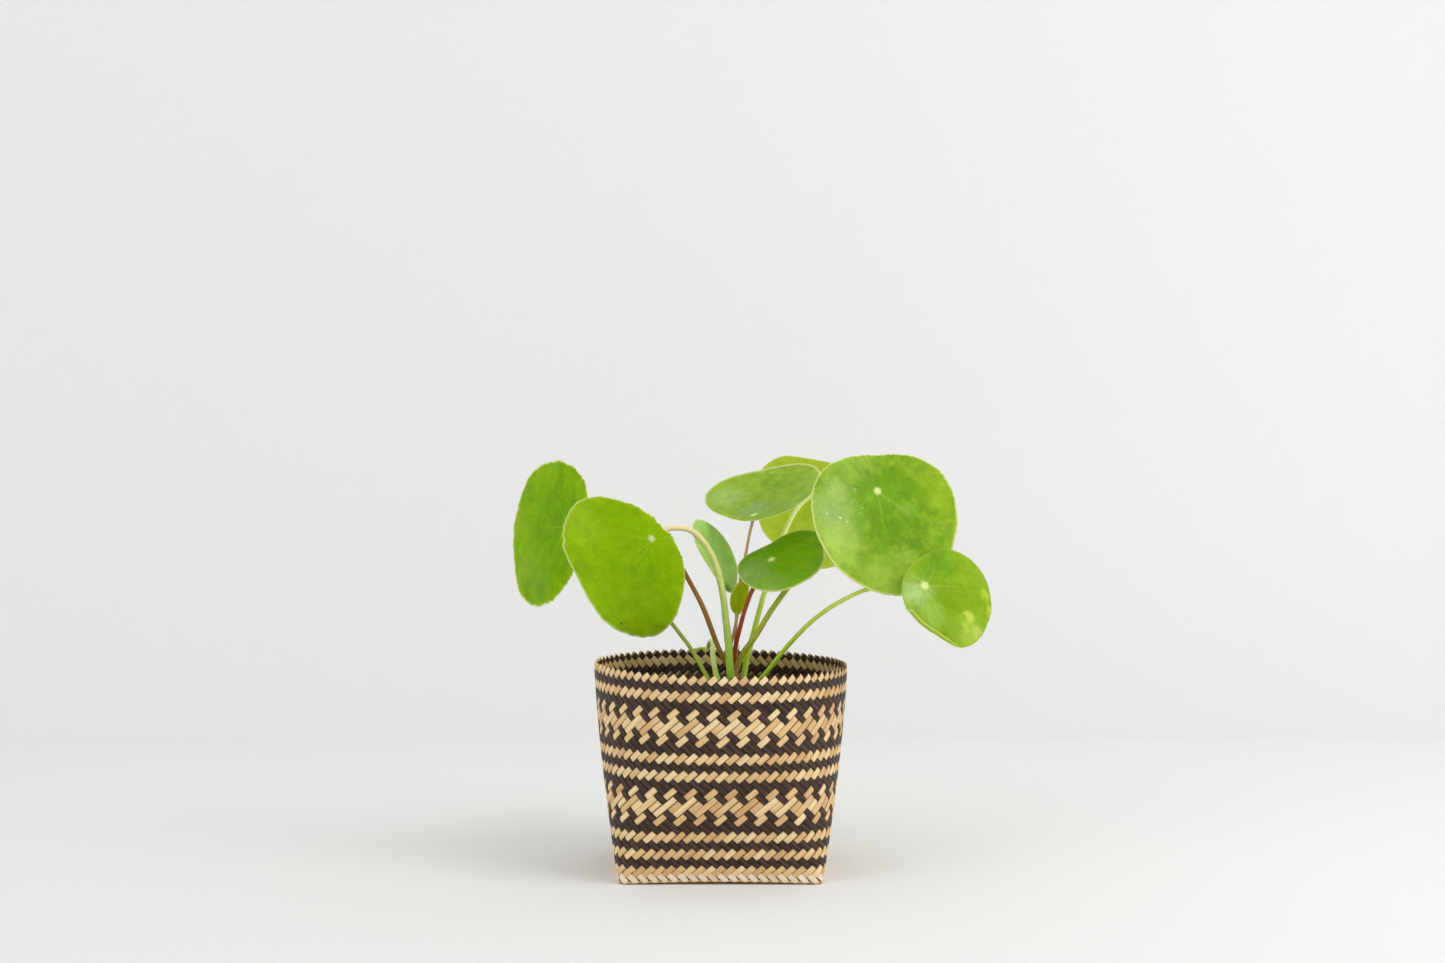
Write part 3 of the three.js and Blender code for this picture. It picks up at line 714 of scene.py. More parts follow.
soil_profile = [(SOIL_FOOT, SOIL_FLOOR), (SOIL_RADIUS, SOIL_TOP - 1.5 * MM)]
soil_profile += [(SOIL_RADIUS * (1 - k / SOIL_RINGS), SOIL_TOP) for k in range(1, SOIL_RINGS)]
soil = raise_rings("potting_soil_body", 96, soil_profile + [(0, SOIL_TOP)])
close_rings(soil)
outward(soil)
points = points_of(soil)
for point in points:
    if point[2] > SOIL_TOP - 0.5 * MM:
        point[2] = soil_level(point[0], point[1])
move_points(soil, points)
smooth(soil, 60)


# %% Crumbs of bark and perlite
ROUGHNESS = 0.45              # a stone's lumps as a share of its radius
SUNK = 0.15                   # a stone's middle above the soil, as a share of its height
SOIL_STREWN = 0.96            # of the soil's radius


def scatter(name, count, smallest, largest, flatness, seed):
    """Rough little stones, each sunk a third into the soil's top."""
    pick = random.Random(seed)
    stones = []
    bpy.ops.mesh.primitive_ico_sphere_add(subdivisions=2, radius=0.5)
    stone = named("stone_master")
    for k in range(count):
        reach = SOIL_RADIUS * SOIL_STREWN * math.sqrt(pick.random())
        bearing = pick.uniform(0, TURN)
        x, y = reach * math.cos(bearing), reach * math.sin(bearing)
        size = pick.uniform(smallest, largest)
        twin = copy_of(stone, f"{name}_{k}")
        shaped = points_of(twin)
        for p in shaped:
            p *= 1 + ROUGHNESS * noise.noise(Vector(p) * 2.6 + Vector((k, 0, 0)))
        shaped *= np.array([size, size * pick.uniform(0.5, 1), size * flatness])
        turn = pick.uniform(0, TURN)
        cos, sin = math.cos(turn), math.sin(turn)
        spin = np.array([[cos, -sin, 0], [sin, cos, 0], [0, 0, 1]])
        shaped = shaped @ spin.T + np.array([x, y, soil_level(x, y) + size * flatness * SUNK])
        move_points(twin, shaped)
        stones.append(twin)
    bpy.data.objects.remove(stone)
    return joined(stones, name)


bark_bits = scatter("soil_bark_bits", 190, 2.2 * MM, 6.5 * MM, 0.45, 5)
perlite = scatter("soil_perlite", 42, 1.4 * MM, 3.2 * MM, 0.8, 6)


# %% Soil finishes
def earthy(name, dark, light, grain_mm, roughness):
    """Crumbly organic matter: a rough surface whose colour changes from grain to grain."""
    material, add = new_material(name)
    place = add("TexCoord").outputs["Object"]
    grain = add("TexNoise", Vector=place, Scale=1 / (grain_mm * MM), Detail=5.0, Roughness=0.7)
    colour = add("ValToRGB", grain, stops=[(0.35, dark), (0.68, light)])
    bump = add("Bump", Strength=0.8, Distance=0.4 * MM, Height=grain)
    add("OutputMaterial", Surface=add("BsdfPrincipled", Base_Color=colour, Normal=bump,
                                      Roughness=roughness, Specular_IOR_Level=0.25))
    return material


for piece, finish in ((soil, earthy("moist_peat", "#1E1510", "#4A3728", 1.6, 0.95)),
                      (bark_bits, earthy("composted_bark", "#33241A", "#6B4E37", 1.2, 0.9)),
                      (perlite, earthy("expanded_perlite", "#BDB6A6", "#E9E4D8", 0.7, 0.85))):
    piece.data.materials.append(finish)
    finish_piece(piece, "soil", *(["potting_soil"] if piece is soil else []))
    print(piece.name, len(piece.data.polygons), "faces")

# %% [markdown]
# ## The trunk
# A pilea grows a short woody stem that is ringed by the scars of fallen leaves and dressed in papery
# scales. A curve with a round bevel gives the stem: each of its points has its own radius, and once
# it is a mesh its bark can be roughened.

# %% Stems from curves
def smooth_route(points_mm, step_mm):
    """A centripetal Catmull-Rom curve through points in mm, as points a step apart, in metres."""
    knots = np.array(points_mm, float)
    knots = np.vstack([2 * knots[0] - knots[1], knots, 2 * knots[-1] - knots[-2]])
    route = []
    for p0, p1, p2, p3 in zip(knots, knots[1:], knots[2:], knots[3:]):
        t1 = np.linalg.norm(p1 - p0) ** 0.5
        t2 = t1 + np.linalg.norm(p2 - p1) ** 0.5
        t3 = t2 + np.linalg.norm(p3 - p2) ** 0.5
        for t in np.linspace(t1, t2, 40, endpoint=False):
            a1 = ((t1 - t) * p0 + t * p1) / t1
            a2 = ((t2 - t) * p1 + (t - t1) * p2) / (t2 - t1)
            a3 = ((t3 - t) * p2 + (t - t2) * p3) / (t3 - t2)
            b1 = ((t2 - t) * a1 + t * a2) / t2
            b2 = ((t3 - t) * a2 + (t - t1) * a3) / (t3 - t1)
            route.append(((t2 - t) * b1 + (t - t1) * b2) / (t2 - t1))
    route = np.array(route + [knots[-2]])
    travelled = np.concatenate([[0], np.cumsum(np.linalg.norm(np.diff(route, axis=0), axis=1))])
    stops = np.linspace(0, travelled[-1], max(4, round(travelled[-1] / step_mm)) + 1)
    return np.stack([np.interp(stops, travelled, route[:, k]) for k in range(3)], axis=1) * MM


def stem(name, route, radii_mm):
    """A round stem along the route with a radius at each point; its 'along' runs from 0 to 1."""
    bpy.ops.curve.primitive_bezier_curve_add(location=(0, 0, 0))
    line = bpy.context.object
    line.data.splines.clear()
    spline = line.data.splines.new("POLY")
    spline.points.add(len(route) - 1)
    for point, place, radius in zip(spline.points, route, radii_mm):
        point.co = (*place, 1)
        point.radius = radius
    line.data.bevel_depth = MM
    line.data.bevel_resolution = 6
    line.data.use_fill_caps = True
    bpy.ops.object.convert(target="MESH")
    piece = named(name)
    ring = len(piece.data.vertices) // len(route)
    point_value(piece, "along", np.arange(len(piece.data.vertices)) // ring / (len(route) - 1))
    return piece


# %% Trunk
TRUNK = [(9.5, 5, 68), (9, 4.5, 84), (8, 4, 98), (7, 4, 109), (6.8, 4, 116.5)]
TRUNK_RADII = (4.4, 3.1)      # mm, at the root and at the top
SCARS = [88.5, 92, 96.5, 100, 103.5, 107.5, 111.5]  # mm above the table
SCAR_RIDGE = (0.32, 0.8)      # mm: how far a scar stands out, and half its height
TOP_FROM, TOP_SHRINK = 0.93, 0.55  # from this share of its length the stem's top is rounded off
BARK = (0.28, 1.6)            # mm: depth and size of the bark's roughness

trunk_route = smooth_route(TRUNK, 0.5)
shares = np.linspace(0, 1, len(trunk_route))
radii = TRUNK_RADII[0] + (TRUNK_RADII[1] - TRUNK_RADII[0]) * shares ** 0.6
heights = trunk_route[:, 2] / MM
for scar in SCARS:
    radii += SCAR_RIDGE[0] * np.exp(-((heights - scar) / SCAR_RIDGE[1]) ** 2)
radii *= 1 - TOP_SHRINK * smoothstep((shares - TOP_FROM) / (1 - TOP_FROM)) ** 2
trunk = stem("trunk_wood", trunk_route, radii)
modify(trunk, "SUBSURF", levels=1, render_levels=1)
points = points_of(trunk)
centre_x = np.interp(points[:, 2], trunk_route[:, 2], trunk_route[:, 0])
centre_y = np.interp(points[:, 2], trunk_route[:, 2], trunk_route[:, 1])
for p, cx, cy in zip(points, centre_x, centre_y):
    away = Vector((p[0] - cx, p[1] - cy, 0))
    rough = noise.fractal(Vector(p) / (BARK[1] * MM), 1.0, 2.0, 3)
    p[:] = Vector(p) + away.normalized() * (BARK[0] * MM * rough)
move_points(trunk, points)
smooth(trunk)
print(trunk.name, len(trunk.data.polygons), "faces")

# %% Papery scales
# Each scale's height, its bearing, its length and its half width
STIPULES = [
    (104, -78, 11, 1.9), (113, -100, 14, 1.1), (112, -55, 11, 0.9), (112, 25, 7, 1.7), (100, -15, 8, 2.0),
    (99, 95, 7, 1.8), (94, -125, 7, 2.0),
]
STIPULE_LEAN = math.radians(12)
STIPULE_CUP, STIPULE_CURL = 0.28, 0.9  # mm: its sides bend towards the stem and its tip away


def stipule(number, height, bearing, length, half_width):
    """A papery scale: a small grid narrowed to a point, cupped round the stem and curled at its tip."""
    bpy.ops.mesh.primitive_grid_add(x_subdivisions=6, y_subdivisions=12, size=1)
    scale = named(f"stipule_{number}")
    k = int(np.argmin(np.abs(trunk_route[:, 2] - height * MM)))
    away = np.array([math.cos(math.radians(bearing)), math.sin(math.radians(bearing)), 0])
    sideways = np.array([-away[1], away[0], 0])
    up = np.array([0, 0, 1.0])
    climb = up * math.cos(STIPULE_LEAN) + away * math.sin(STIPULE_LEAN)
    foot = trunk_route[k] + away * (TRUNK_RADII[1] - 0.2) * MM
    led = []
    for x, y, _ in points_of(scale):
        run = y + 0.5
        width = half_width * (1 - run ** 1.6) ** 0.8 * (1 + 0.12 * math.sin(9 * run + number))
        side = 2 * x * width
        ripple = 0.25 * math.sin(7 * run + number)
        cup = STIPULE_CURL * run ** 2 - STIPULE_CUP * side ** 2 / half_width + ripple
        led.append(foot + climb * (run * (length + 1) - 1) * MM + sideways * side * MM + away * cup * MM)
    move_points(scale, np.array(led))
    modify(scale, "SOLIDIFY", thickness=0.22 * MM, offset=0)
    modify(scale, "SUBSURF", levels=1, render_levels=1)
    return scale


scales = joined([stipule(k, *values) for k, values in enumerate(STIPULES)], "trunk_papery_scales")
smooth(scales, 60)
print(scales.name, len(scales.data.polygons), "faces")

# %% Bark finish
SCAR_CELLS = (260.0, 260.0, 900.0)  # noise cells to the metre: flat, so the scars ring the stem


def bark_material(name, dark, light, scar):
    """Young corky bark: brown skin with paler leaf scars round it and fine cracks along it."""
    material, add = new_material(name)
    place = add("TexCoord").outputs["Object"]
    ring = add("TexNoise", Vector=add("Mapping", Vector=place, Scale=SCAR_CELLS), Scale=1.0, Detail=3.0)
    patch = add("TexNoise", Vector=place, Scale=1 / (2.5 * MM), Detail=4.0)
    colour = add("ValToRGB", patch, stops=[(0.35, dark), (0.62, light)])
    colour = add("Mix", add("MapRange", ring, 0.55, 0.7, 0.0, 0.7), colour, scar, data_type="RGBA")
    bump = add("Bump", Strength=0.6, Distance=0.25 * MM, Height=ring)
    add("OutputMaterial", Surface=add("BsdfPrincipled", Base_Color=colour, Normal=bump, Roughness=0.75,
                                      Specular_IOR_Level=0.2))
    return material


trunk.data.materials.append(bark_material("corky_young_bark", "#5E3A22", "#9A6A40", "#B88E5C"))
scales.data.materials.append(bark_material("dry_papery_scale", "#B4703C", "#DCA06C", "#F0CCA0"))
finish_piece(trunk, "bark", "trunk")
finish_piece(scales, "bark", "trunk")

# %% [markdown]
# ## The leaves
# Each leaf is round and held near its middle, like a shield on an arm: the stalk meets the blade at
# a pale dot, and the veins fan out from that dot. The values below repeat the measured model: where
# the dot lies, the way the upper side faces, the way the tip points, the size, and how the blade
# domes, waves or curls. Colours, veins and marks are what the eye sees on that leaf, and its soft
# patches are partly painted sheen and painted shade.

# %% Leaf values, in mm
# The soft patches (u, v, reach in mm, tint, strength) on a leaf's upper side are partly painted sheen where
# it catches the light, partly painted shade where it misses it, and partly broad changes of its own tone
LEAVES = [
    dict(name="far_left", at=(-86.6, 29, 187.7), face=(-0.80, -0.57, 0.18), tip=(-0.60, 0.79, -0.13),
         size=(85.9, 84.2), heel=0.26, egg=0.16, dome=1.4, wave=(0.3, 7, 95), crenate=1.3, gloss=0.03,
         lobes=[(2, 0.6, 22), (3, 1.1, -37), (4, 0.7, -34)], curl=(100, 3.8),
         stalk=[(8.4, 4, 89), (2.5, 3.4, 92.5), (-2.6, 3, 97), (-7.4, 3.2, 104), (-16.3, 8, 119),
                (-28, 14, 134), (-42.5, 24, 152), (-60, 31, 169), (-74.5, 33, 181), (-82, 32.5, 186)],
         thick=(1.25, 1.0), green="#78A800", young="#98BC10", deep="#5C9000", mottle=0.4,
         painted_light_and_tone=[(30, 32, 22, "#6E9430", 0.5), (48, 20, 14, "#86A840", 0.4), (62, -6, 14, "#A0B028", 0.4)],
         skin=[(0, "#94C028"), (0.3, "#B0C850"), (0.6, "#C4D080"), (1, "#C2D08C")]),
    dict(name="big_left", at=(-36.9, -35, 183.3), face=(-0.46, -0.80, -0.38), tip=(-0.56, 0.60, -0.57),
         size=(84.5, 77), heel=0.34, egg=0.06, dome=1.3, wave=(0.9, 5, 320), crenate=1.1, gloss=0.05,
         lobes=[(2, 4.0, 71), (3, 1.9, 34), (4, 0.5, -12)],
         stalk=[(8, 4, 95), (6.8, 0, 100.5), (5.5, -3, 106), (4, -6, 127.5), (2.7, -7.5, 138),
                (1.7, -9, 148), (-3.5, -13, 170), (-10.2, -17, 181.3), (-16.5, -20.5, 186.9),
                (-23.5, -24, 188.4), (-29.5, -27.5, 187.6)],
         thick=(2.5, 1.5), green="#90BA00", young="#A8C818", deep="#80AC00", mottle=0.35,
         veins=[(12, 30), (-42, 22), (-1, 16)], painted_light_and_tone=[(30, -35, 22, "#9CBC28", 0.6)],
         marks=[(60.3, 21.3, 1.1, "#5A4A18"), (13.2, -0.2, 0.5, "#C8CC70"), (32.7, 18.2, 0.5, "#B8BC50")],
         skin=[(0, "#9CDC14"), (0.35, "#C4DC70"), (0.6, "#DCE48C"), (0.82, "#ECE0A8"), (1, "#ECD4B0")]),
    dict(name="centre_upper", at=(18.6, 8, 194.2), face=(-0.25, -0.29, 0.93), tip=(0.30, 0.88, 0.36),
         size=(64.5, 66.1), heel=0.35, egg=0.09, dome=-3.1, wave=(0.1, 5, 170), crenate=0.4,
         lobes=[(2, 2.0, 62), (3, 2.0, -37)],
         stalk=[(7.8, 6.2, 112), (8.2, 6.8, 120), (8.5, 8, 133), (11, 12, 157.5), (13.8, 13, 171),
                (16.2, 12, 184)],
         thick=(0.9, 0.85), green="#80A220", young="#9DBA3C", deep="#6C9212", mottle=0.6,
         painted_light_and_tone=[(24, 25, 20, "#A4BC6A", 0.7), (8, 2, 16, "#82A060", 0.7)],
         skin=[(0, "#B0643C"), (0.4, "#CC8C64"), (1, "#E8C09C")]),
    dict(name="centre_lower", at=(28.1, 0, 169.8), face=(-0.34, -0.51, 0.79), tip=(0.79, -0.62, -0.07),
         size=(51, 50.2), heel=0.15, egg=0.12, dome=0.6, wave=(0.3, 5, 220), crenate=0.25,
         lobes=[(2, 0.8, 58), (3, 1.8, -30), (4, 0.9, 1)],
         stalk=[(7.2, 2.2, 111), (8, 0.8, 120), (11, -2.5, 133.5), (13.6, -4.5, 143), (17.5, -3.5, 153),
                (23.5, 1.5, 161)],
         thick=(1.35, 1.2), green="#70A400", young="#88B028", deep="#609800", mottle=0.3,
         # both soft patches are painted sheen on the lower left half
         veins=[(-16, 26), (54, 14)], painted_light_and_tone=[(-8, -15, 22, "#8CAC58", 0.85), (12, -22, 18, "#86A84A", 0.7)],
         skin=[(0, "#A0441C"), (0.4, "#B85830"), (0.8, "#A86034"), (1, "#9C8444")]),
    dict(name="back", at=(58.5, 82, 206.5), face=(0.41, 0.70, 0.58), tip=(-0.15, 0.68, -0.72),
         size=(82.2, 78.8), heel=0.21, egg=-0.04, dome=2.1, wave=(1.2, 6, 15), crenate=0.4,
         lobes=[(2, 0.4, 18), (3, 0.6, -12)],
         stalk=[(8.2, 4.2, 95), (12.3, 7.5, 102), (14.5, 12, 113), (18, 18, 125.5), (25.3, 36, 150),
                (36.8, 56, 182), (45.5, 68, 197), (53, 76, 203)],
         # its bright yellow greens are partly painted light: the glow of daylight through the blade, seen
         # from its underside
         thick=(1.8, 1.4), green="#CCE028", young="#DCE850", deep="#BCD60C", mottle=0.5,
         skin=[(0, "#BCF038"), (0.3, "#D8F468"), (0.6, "#E8F490"), (1, "#E0ECA4")]),
    dict(name="large_right", at=(86.1, -10, 208), face=(0.27, -0.90, 0.34), tip=(0.19, -0.30, -0.94),
         size=(87.3, 82.1), heel=0.21, egg=0.0, dome=-3.1, wave=(0.2, 6, 335), crenate=0.5,
         lobes=[(2, 1.9, -83), (3, 2.2, -2), (4, 0.8, 35)],
         stalk=[(8.2, 4, 107), (12, 1, 117), (19.6, -2, 128), (27.3, -1, 140.5), (35.7, 1, 152),
                (51, 4, 171.5), (68, 5, 191), (78.5, 3, 201)],
         thick=(1.7, 1.4), green="#709C10", young="#9AB62C", deep="#609004", mottle=0.75,
         veins=[(-2, 44), (-58, 26), (46, 24)],
         # the palest, greyest patches, on the left and the lower left, are painted sheen; the yellow-green
         # ones are the leaf's own mottling
         painted_light_and_tone=[(11, -30, 24, "#A8C470", 0.75), (28, -30, 20, "#B4CC60", 0.7), (4, 4, 16, "#74A820", 0.6),
                 (52, -10, 20, "#B0CC4C", 0.6), (44, 6, 14, "#84AC00", 0.5), (-18, -14, 22, "#A2C054", 0.5),
                 (6, 34, 18, "#9CB81C", 0.5), (-3, -24, 11, "#B8CC78", 0.5), (40, 6, 10, "#B0C850", 0.5),
                 (13, 14, 9, "#A0C048", 0.4), (27, 27, 9, "#98BC30", 0.3)],
         marks=[(-1.9, -14.4, 1.3, "#BCAA80"), (-2.0, -14.6, 0.6, "#8A6A48"), (13.4, -25.6, 0.9, "#E0E8C4"),
                (10.5, -32.8, 0.7, "#D6E2B8"), (16, -22.2, 0.6, "#D6E2B8"), (22.1, -40.7, 0.6, "#D0DEA8"),
                (5.6, -13.4, 0.5, "#C8C890"), (8.9, -11.2, 0.55, "#CCCC94"), (11.8, -13.2, 0.5, "#C4C488")],
         skin=[(0, "#B0B83C"), (0.4, "#C0C848"), (1, "#CCC444")]),
    dict(name="lower_right", at=(108.5, -48, 158.6), face=(0.34, -0.86, 0.38), tip=(0.94, 0.26, -0.23),
         size=(53.4, 57.7), heel=0.33, egg=0.03, dome=4.5, wave=(0.2, 5, 100), crenate=0.3,
         lobes=[(2, 2.2, 12), (3, 1.0, -53), (4, 0.6, 22)], lip=(-83, 46, 1.0, 0.9),
         stalk=[(8.6, 4, 90), (14, -0.5, 96), (22.3, -6, 104.3), (38, -12, 124.4), (51.5, -17, 138.4),
                (65, -21, 147.9), (81, -25, 155.2), (91, -26.5, 155.1), (98, -28.5, 153),
                (102, -33, 150.5), (105.5, -40, 151.7)],
         thick=(1.45, 1.1), green="#80A406", young="#9CBA24", deep="#789C00", mottle=0.4,
         veins=[(13, 22), (-51, 26), (60, 16)],
         # the pale patch beside the dot, at (-5, -5), is painted sheen
         painted_light_and_tone=[(7.8, 16, 15, "#609400", 0.9), (0.5, 8, 7, "#689C14", 0.8), (-5, -5, 13, "#BCD68C", 0.7),
                 (6, -14, 11, "#A8C860", 0.55), (28, -16, 16, "#A8C04C", 0.6)],
         marks=[(25.2, -8, 3.6, "#BCCC50"), (31, -13.2, 3.8, "#BCCC58"), (37.4, 0.2, 3.6, "#B4C834"),
                (33.6, 6, 3.2, "#B0C42C"), (24, -13, 2.4, "#B4C444")],
         skin=[(0, "#98CC1C"), (0.3, "#B4D840"), (0.6, "#CCE064"), (1, "#D8E080")]),
    dict(name="small_middle", at=(-4.8, 8, 171.4), face=(0.82, -0.37, 0.44), tip=(0.36, 0.93, 0.10),
         size=(44.9, 44.5), heel=0.21, egg=0.0, dome=0.9, wave=(0.2, 4, 325), crenate=0.15,
         lobes=[(2, 0.5, -34), (3, 1.7, 4), (4, 0.5, -17)],
         stalk=[(5.4, 6.2, 111), (3.6, 7, 119), (2.5, 8, 128), (1.8, 9, 140), (1.2, 10, 150),
                (-1.4, 10.8, 160), (-4.5, 10.2, 167.5)],
         # its pale bluish greens are partly painted sheen, and the dark patch at its tip is painted shade
         thick=(0.85, 0.8), green="#A4CC6A", young="#B4D880", deep="#92BE54", mottle=0.3,
         painted_light_and_tone=[(-0.6, -22.5, 8, "#34540C", 1.0)],
         skin=[(0, "#7A3A28"), (1, "#9A5A3A")]),
    dict(name="bud", at=(9.3, 4.5, 139.5), face=(-0.45, -0.88, 0.12), tip=(0.18, 0.04, 0.98),
         size=(20, 10.5), heel=0.46, egg=0.05, dome=1.0, wave=(0, 0, 0), fold=0.6, crenate=0.0,
         stalk=[(5.2, 4.4, 112), (5.7, 4.4, 121), (7.3, 4.5, 129)],
         thick=(0.85, 0.8), green="#B4C200", young="#C2CC18", deep="#A2B000", mottle=0.4, veins=[(0, 16)],
         skin=[(0, "#C4A06C"), (1, "#D0B47C")]),
    dict(name="hidden_left", at=(-38.5, 8, 174), face=(-0.60, 0.10, 0.79), tip=(-0.79, 0, -0.60),
         size=(41, 37), heel=0.22, egg=0.05, dome=1.8, wave=(0.4, 5, 0), crenate=0.12,
         stalk=[(7.4, 4, 106), (0.5, 5, 116.5), (-10, 6, 143), (-16.8, 6.6, 156), (-22.5, 7, 165.5),
                (-29, 7.5, 170.5), (-34, 8, 171.5)],
         thick=(1.55, 1.3), green="#7AA80C", young="#98BC24", deep="#629404", mottle=0.4,
         skin=[(0, "#8C7C14"), (0.3, "#A88434"), (0.55, "#BC8450"), (1, "#C07048")]),
    dict(name="low_back", at=(-10, 83, 103), face=(-0.15, 0.93, 0.33), tip=(-0.10, 0.33, -0.94),
         size=(44, 42), heel=0.24, egg=0.05, dome=2.0, wave=(0.4, 5, 0), crenate=0.12,
         stalk=[(8.6, 5, 87), (3, 8, 94), (-1.5, 10, 102), (-4.5, 24, 113.5), (-4.5, 40, 119.3),
                (-6, 57, 119.3), (-7, 67, 116.5), (-8, 73.5, 112), (-9.4, 78, 107.5)],
         thick=(1.8, 1.2), green="#AAC440", young="#BED05C", deep="#94B02C", mottle=0.4,
         skin=[(0, "#A8E040"), (0.2, "#CCF468"), (0.34, "#ECFCAC"), (1, "#DCECA0")]),
]
BLADE_THICKNESS = 0.62 * MM
MARGIN_THINNING = 0.45        # the blade thins to this share at its margin,
THIN_FROM = 0.9               # from this share of the way out
SPOKES, RINGS = 216, 40
CURL_REACH = 0.6              # radians either side of a curl's middle
MAP_MM = 100                  # mm to one unit of a blade's own map
VEINS = [(0, 30), (48, 22), (-48, 22)]  # usual bearings of the main veins from the tip, and their runs
CRENATION_PITCH = 5.5         # mm between the shallow notches of the margin
UNEVEN_TURNS = 4.2            # how quickly the margin's unevenness changes on the way round it
DIMPLE = (0.25, 3.2)          # mm: depth and reach of the dimple at the dot
SUNKEN_VEIN = (0.2, 0.8)      # mm: depth and half width of a main vein
PUCKER = (0.32, 9)            # mm: height of the puckers and distance between them
LIP_ON_MAP = 1.6              # mm more on the map where the margin may be rolled
LIP_START = 0.8               # share of the disc that stays flat where a margin is rolled
LIP_TURN = 2.7                # radians through which such a margin rolls
lengths = [leaf["size"][0] for leaf in LEAVES]
print(len(LEAVES), "leaves,", min(lengths), "to", max(lengths), "mm long")

# %% [markdown]
# A blade starts as a flat round disc with rings of faces, and its dot is the disc's middle. The disc
# is stretched to the leaf's outline, which is an egg with a few long swellings and a shallow notched
# margin. It is laid along the leaf's own axes and given the dome, waves and curl, and on one leaf the
# margin rolls forward as a lip. Both sides follow one middle surface, so a vein that sinks above
# stands out below, and Solidify gives the thickness, thinner towards the margin.

# %% The blade's axes and outline
def leaf_axes(leaf):
    """Towards the tip, to the side, and out of the upper face."""
    face = unit(np.array(leaf["face"], float))
    tip = np.array(leaf["tip"], float)
    tip = unit(tip - face * tip.dot(face))
    return tip, np.cross(face, tip), face


def swelling(leaf, theta):
    """How much wider than a plain egg the outline is in this direction from the blade's centre."""
    push = [size * np.cos(count * (theta - math.radians(bearing)))
            for count, size, bearing in leaf.get("lobes", ())]
    return 1 + sum(push) / (leaf["size"][0] / 2)


def outline_reach(leaf, bearing):
    """Distance in mm from the dot to the margin at each bearing from the tip."""
    length, width = leaf["size"]
    around = np.linspace(0, TURN, 721)
    wide = swelling(leaf, around)
    u = length * (leaf["heel"] + 0.5 * wide * np.cos(around))
    v = 0.5 * width * wide * (1 + leaf["egg"] * np.cos(around)) * np.sin(around)
    angle = np.unwrap(np.arctan2(v, u))
    reach = np.interp(bearing % TURN, angle, np.hypot(u, v), period=TURN)
    seed = len(leaf["name"]) + length
    circle = UNEVEN_TURNS * np.stack([np.cos(bearing), np.sin(bearing)], axis=1)
    uneven = np.array([noise.noise(Vector((x, y, seed))) for x, y in circle])
    notches = round(math.pi * length / CRENATION_PITCH)
    scallop = np.abs(np.sin(0.5 * notches * bearing + 4 * uneven)) - 0.6
    return reach + leaf["crenate"] * (uneven + scallop * (0.7 + uneven))


def centre_coordinates(leaf, u, v):
    """How far from the blade's middle (0) to its margin (1) a place lies, and in which direction."""
    length, width = leaf["size"]
    x = 2 * (u / length - leaf["heel"])
    y = 2 * v / width
    theta = np.arctan2(y, x)
    for _ in range(5):
        theta = np.arctan2(y / (1 + leaf["egg"] * np.cos(theta)), x)
    rho = np.hypot(x, y / (1 + leaf["egg"] * np.cos(theta))) / swelling(leaf, theta)
    return rho, theta


# %% The blade's relief
def main_veins(leaf, u, v, width):
    """1 on a main vein, 0 between, fading away from the dot."""
    line = np.zeros_like(u)
    for bearing, run in leaf.get("veins", VEINS):
        turn = math.radians(bearing)
        along = u * math.cos(turn) + v * math.sin(turn)
        across = v * math.cos(turn) - u * math.sin(turn)
        fade = np.where(along > 0, 1 - smoothstep(along / run), 0)
        line = np.maximum(line, np.exp(-(across / width) ** 2) * fade)
    return line


def blade_height(leaf, u, v):
    """Height in mm of the blade's middle surface over the plane through its dot."""
    half = leaf["size"][0] / 2
    rho, theta = centre_coordinates(leaf, u, v)
    height = -leaf["dome"] * (u ** 2 + v ** 2) / half ** 2 + leaf.get("fold", 0) * np.abs(v)
    crest, count, phase = leaf["wave"]
    height += crest * rho ** 3 * np.sin(count * theta + math.radians(phase))
    if "curl" in leaf:
        middle, reach = math.radians(leaf["curl"][0]), leaf["curl"][1]
        turn = np.arctan2(np.sin(theta - middle), np.cos(theta - middle))
        height -= reach * rho ** 6 * np.exp(-(turn / CURL_REACH) ** 2)
    small = min(1, half / 30)
    height -= DIMPLE[0] * small * np.exp(-(np.hypot(u, v) / (DIMPLE[1] * small)) ** 2)
    return height - SUNKEN_VEIN[0] * small * main_veins(leaf, u, v, SUNKEN_VEIN[1])


def roll_margin(leaf, share, bearing, reach):
    """How far out each point of the disc lands, and how far a rolled margin lifts it, in mm."""
    if "lip" not in leaf:
        return share * reach, 0 * share
    middle, half_width, radius, spare = leaf["lip"]
    turn = bearing - math.radians(middle)
    away = np.abs(np.arctan2(np.sin(turn), np.cos(turn)))
    rise = np.maximum(smoothstep((math.radians(half_width) - away) / 0.35), 0.001)
    flat = reach - radius
    strip = radius + rise * (radius * (LIP_TURN - 1) + spare)
    travelled = np.maximum(share - LIP_START, 0) / (1 - LIP_START) * strip
    bent = rise * np.minimum(travelled / radius, LIP_TURN)
    beyond = np.maximum(travelled - radius * LIP_TURN, 0)
    out = np.minimum(share / LIP_START, 1) * flat + radius / rise * np.sin(bent) + beyond * np.cos(bent)
    return out, radius / rise * (1 - np.cos(bent)) + beyond * np.sin(bent)


# %% The disc that every blade starts from
disc = raise_rings("blade_disc", SPOKES, [(1 - k / RINGS, 0) for k in range(RINGS)] + [(0, 0)])
outward(disc)


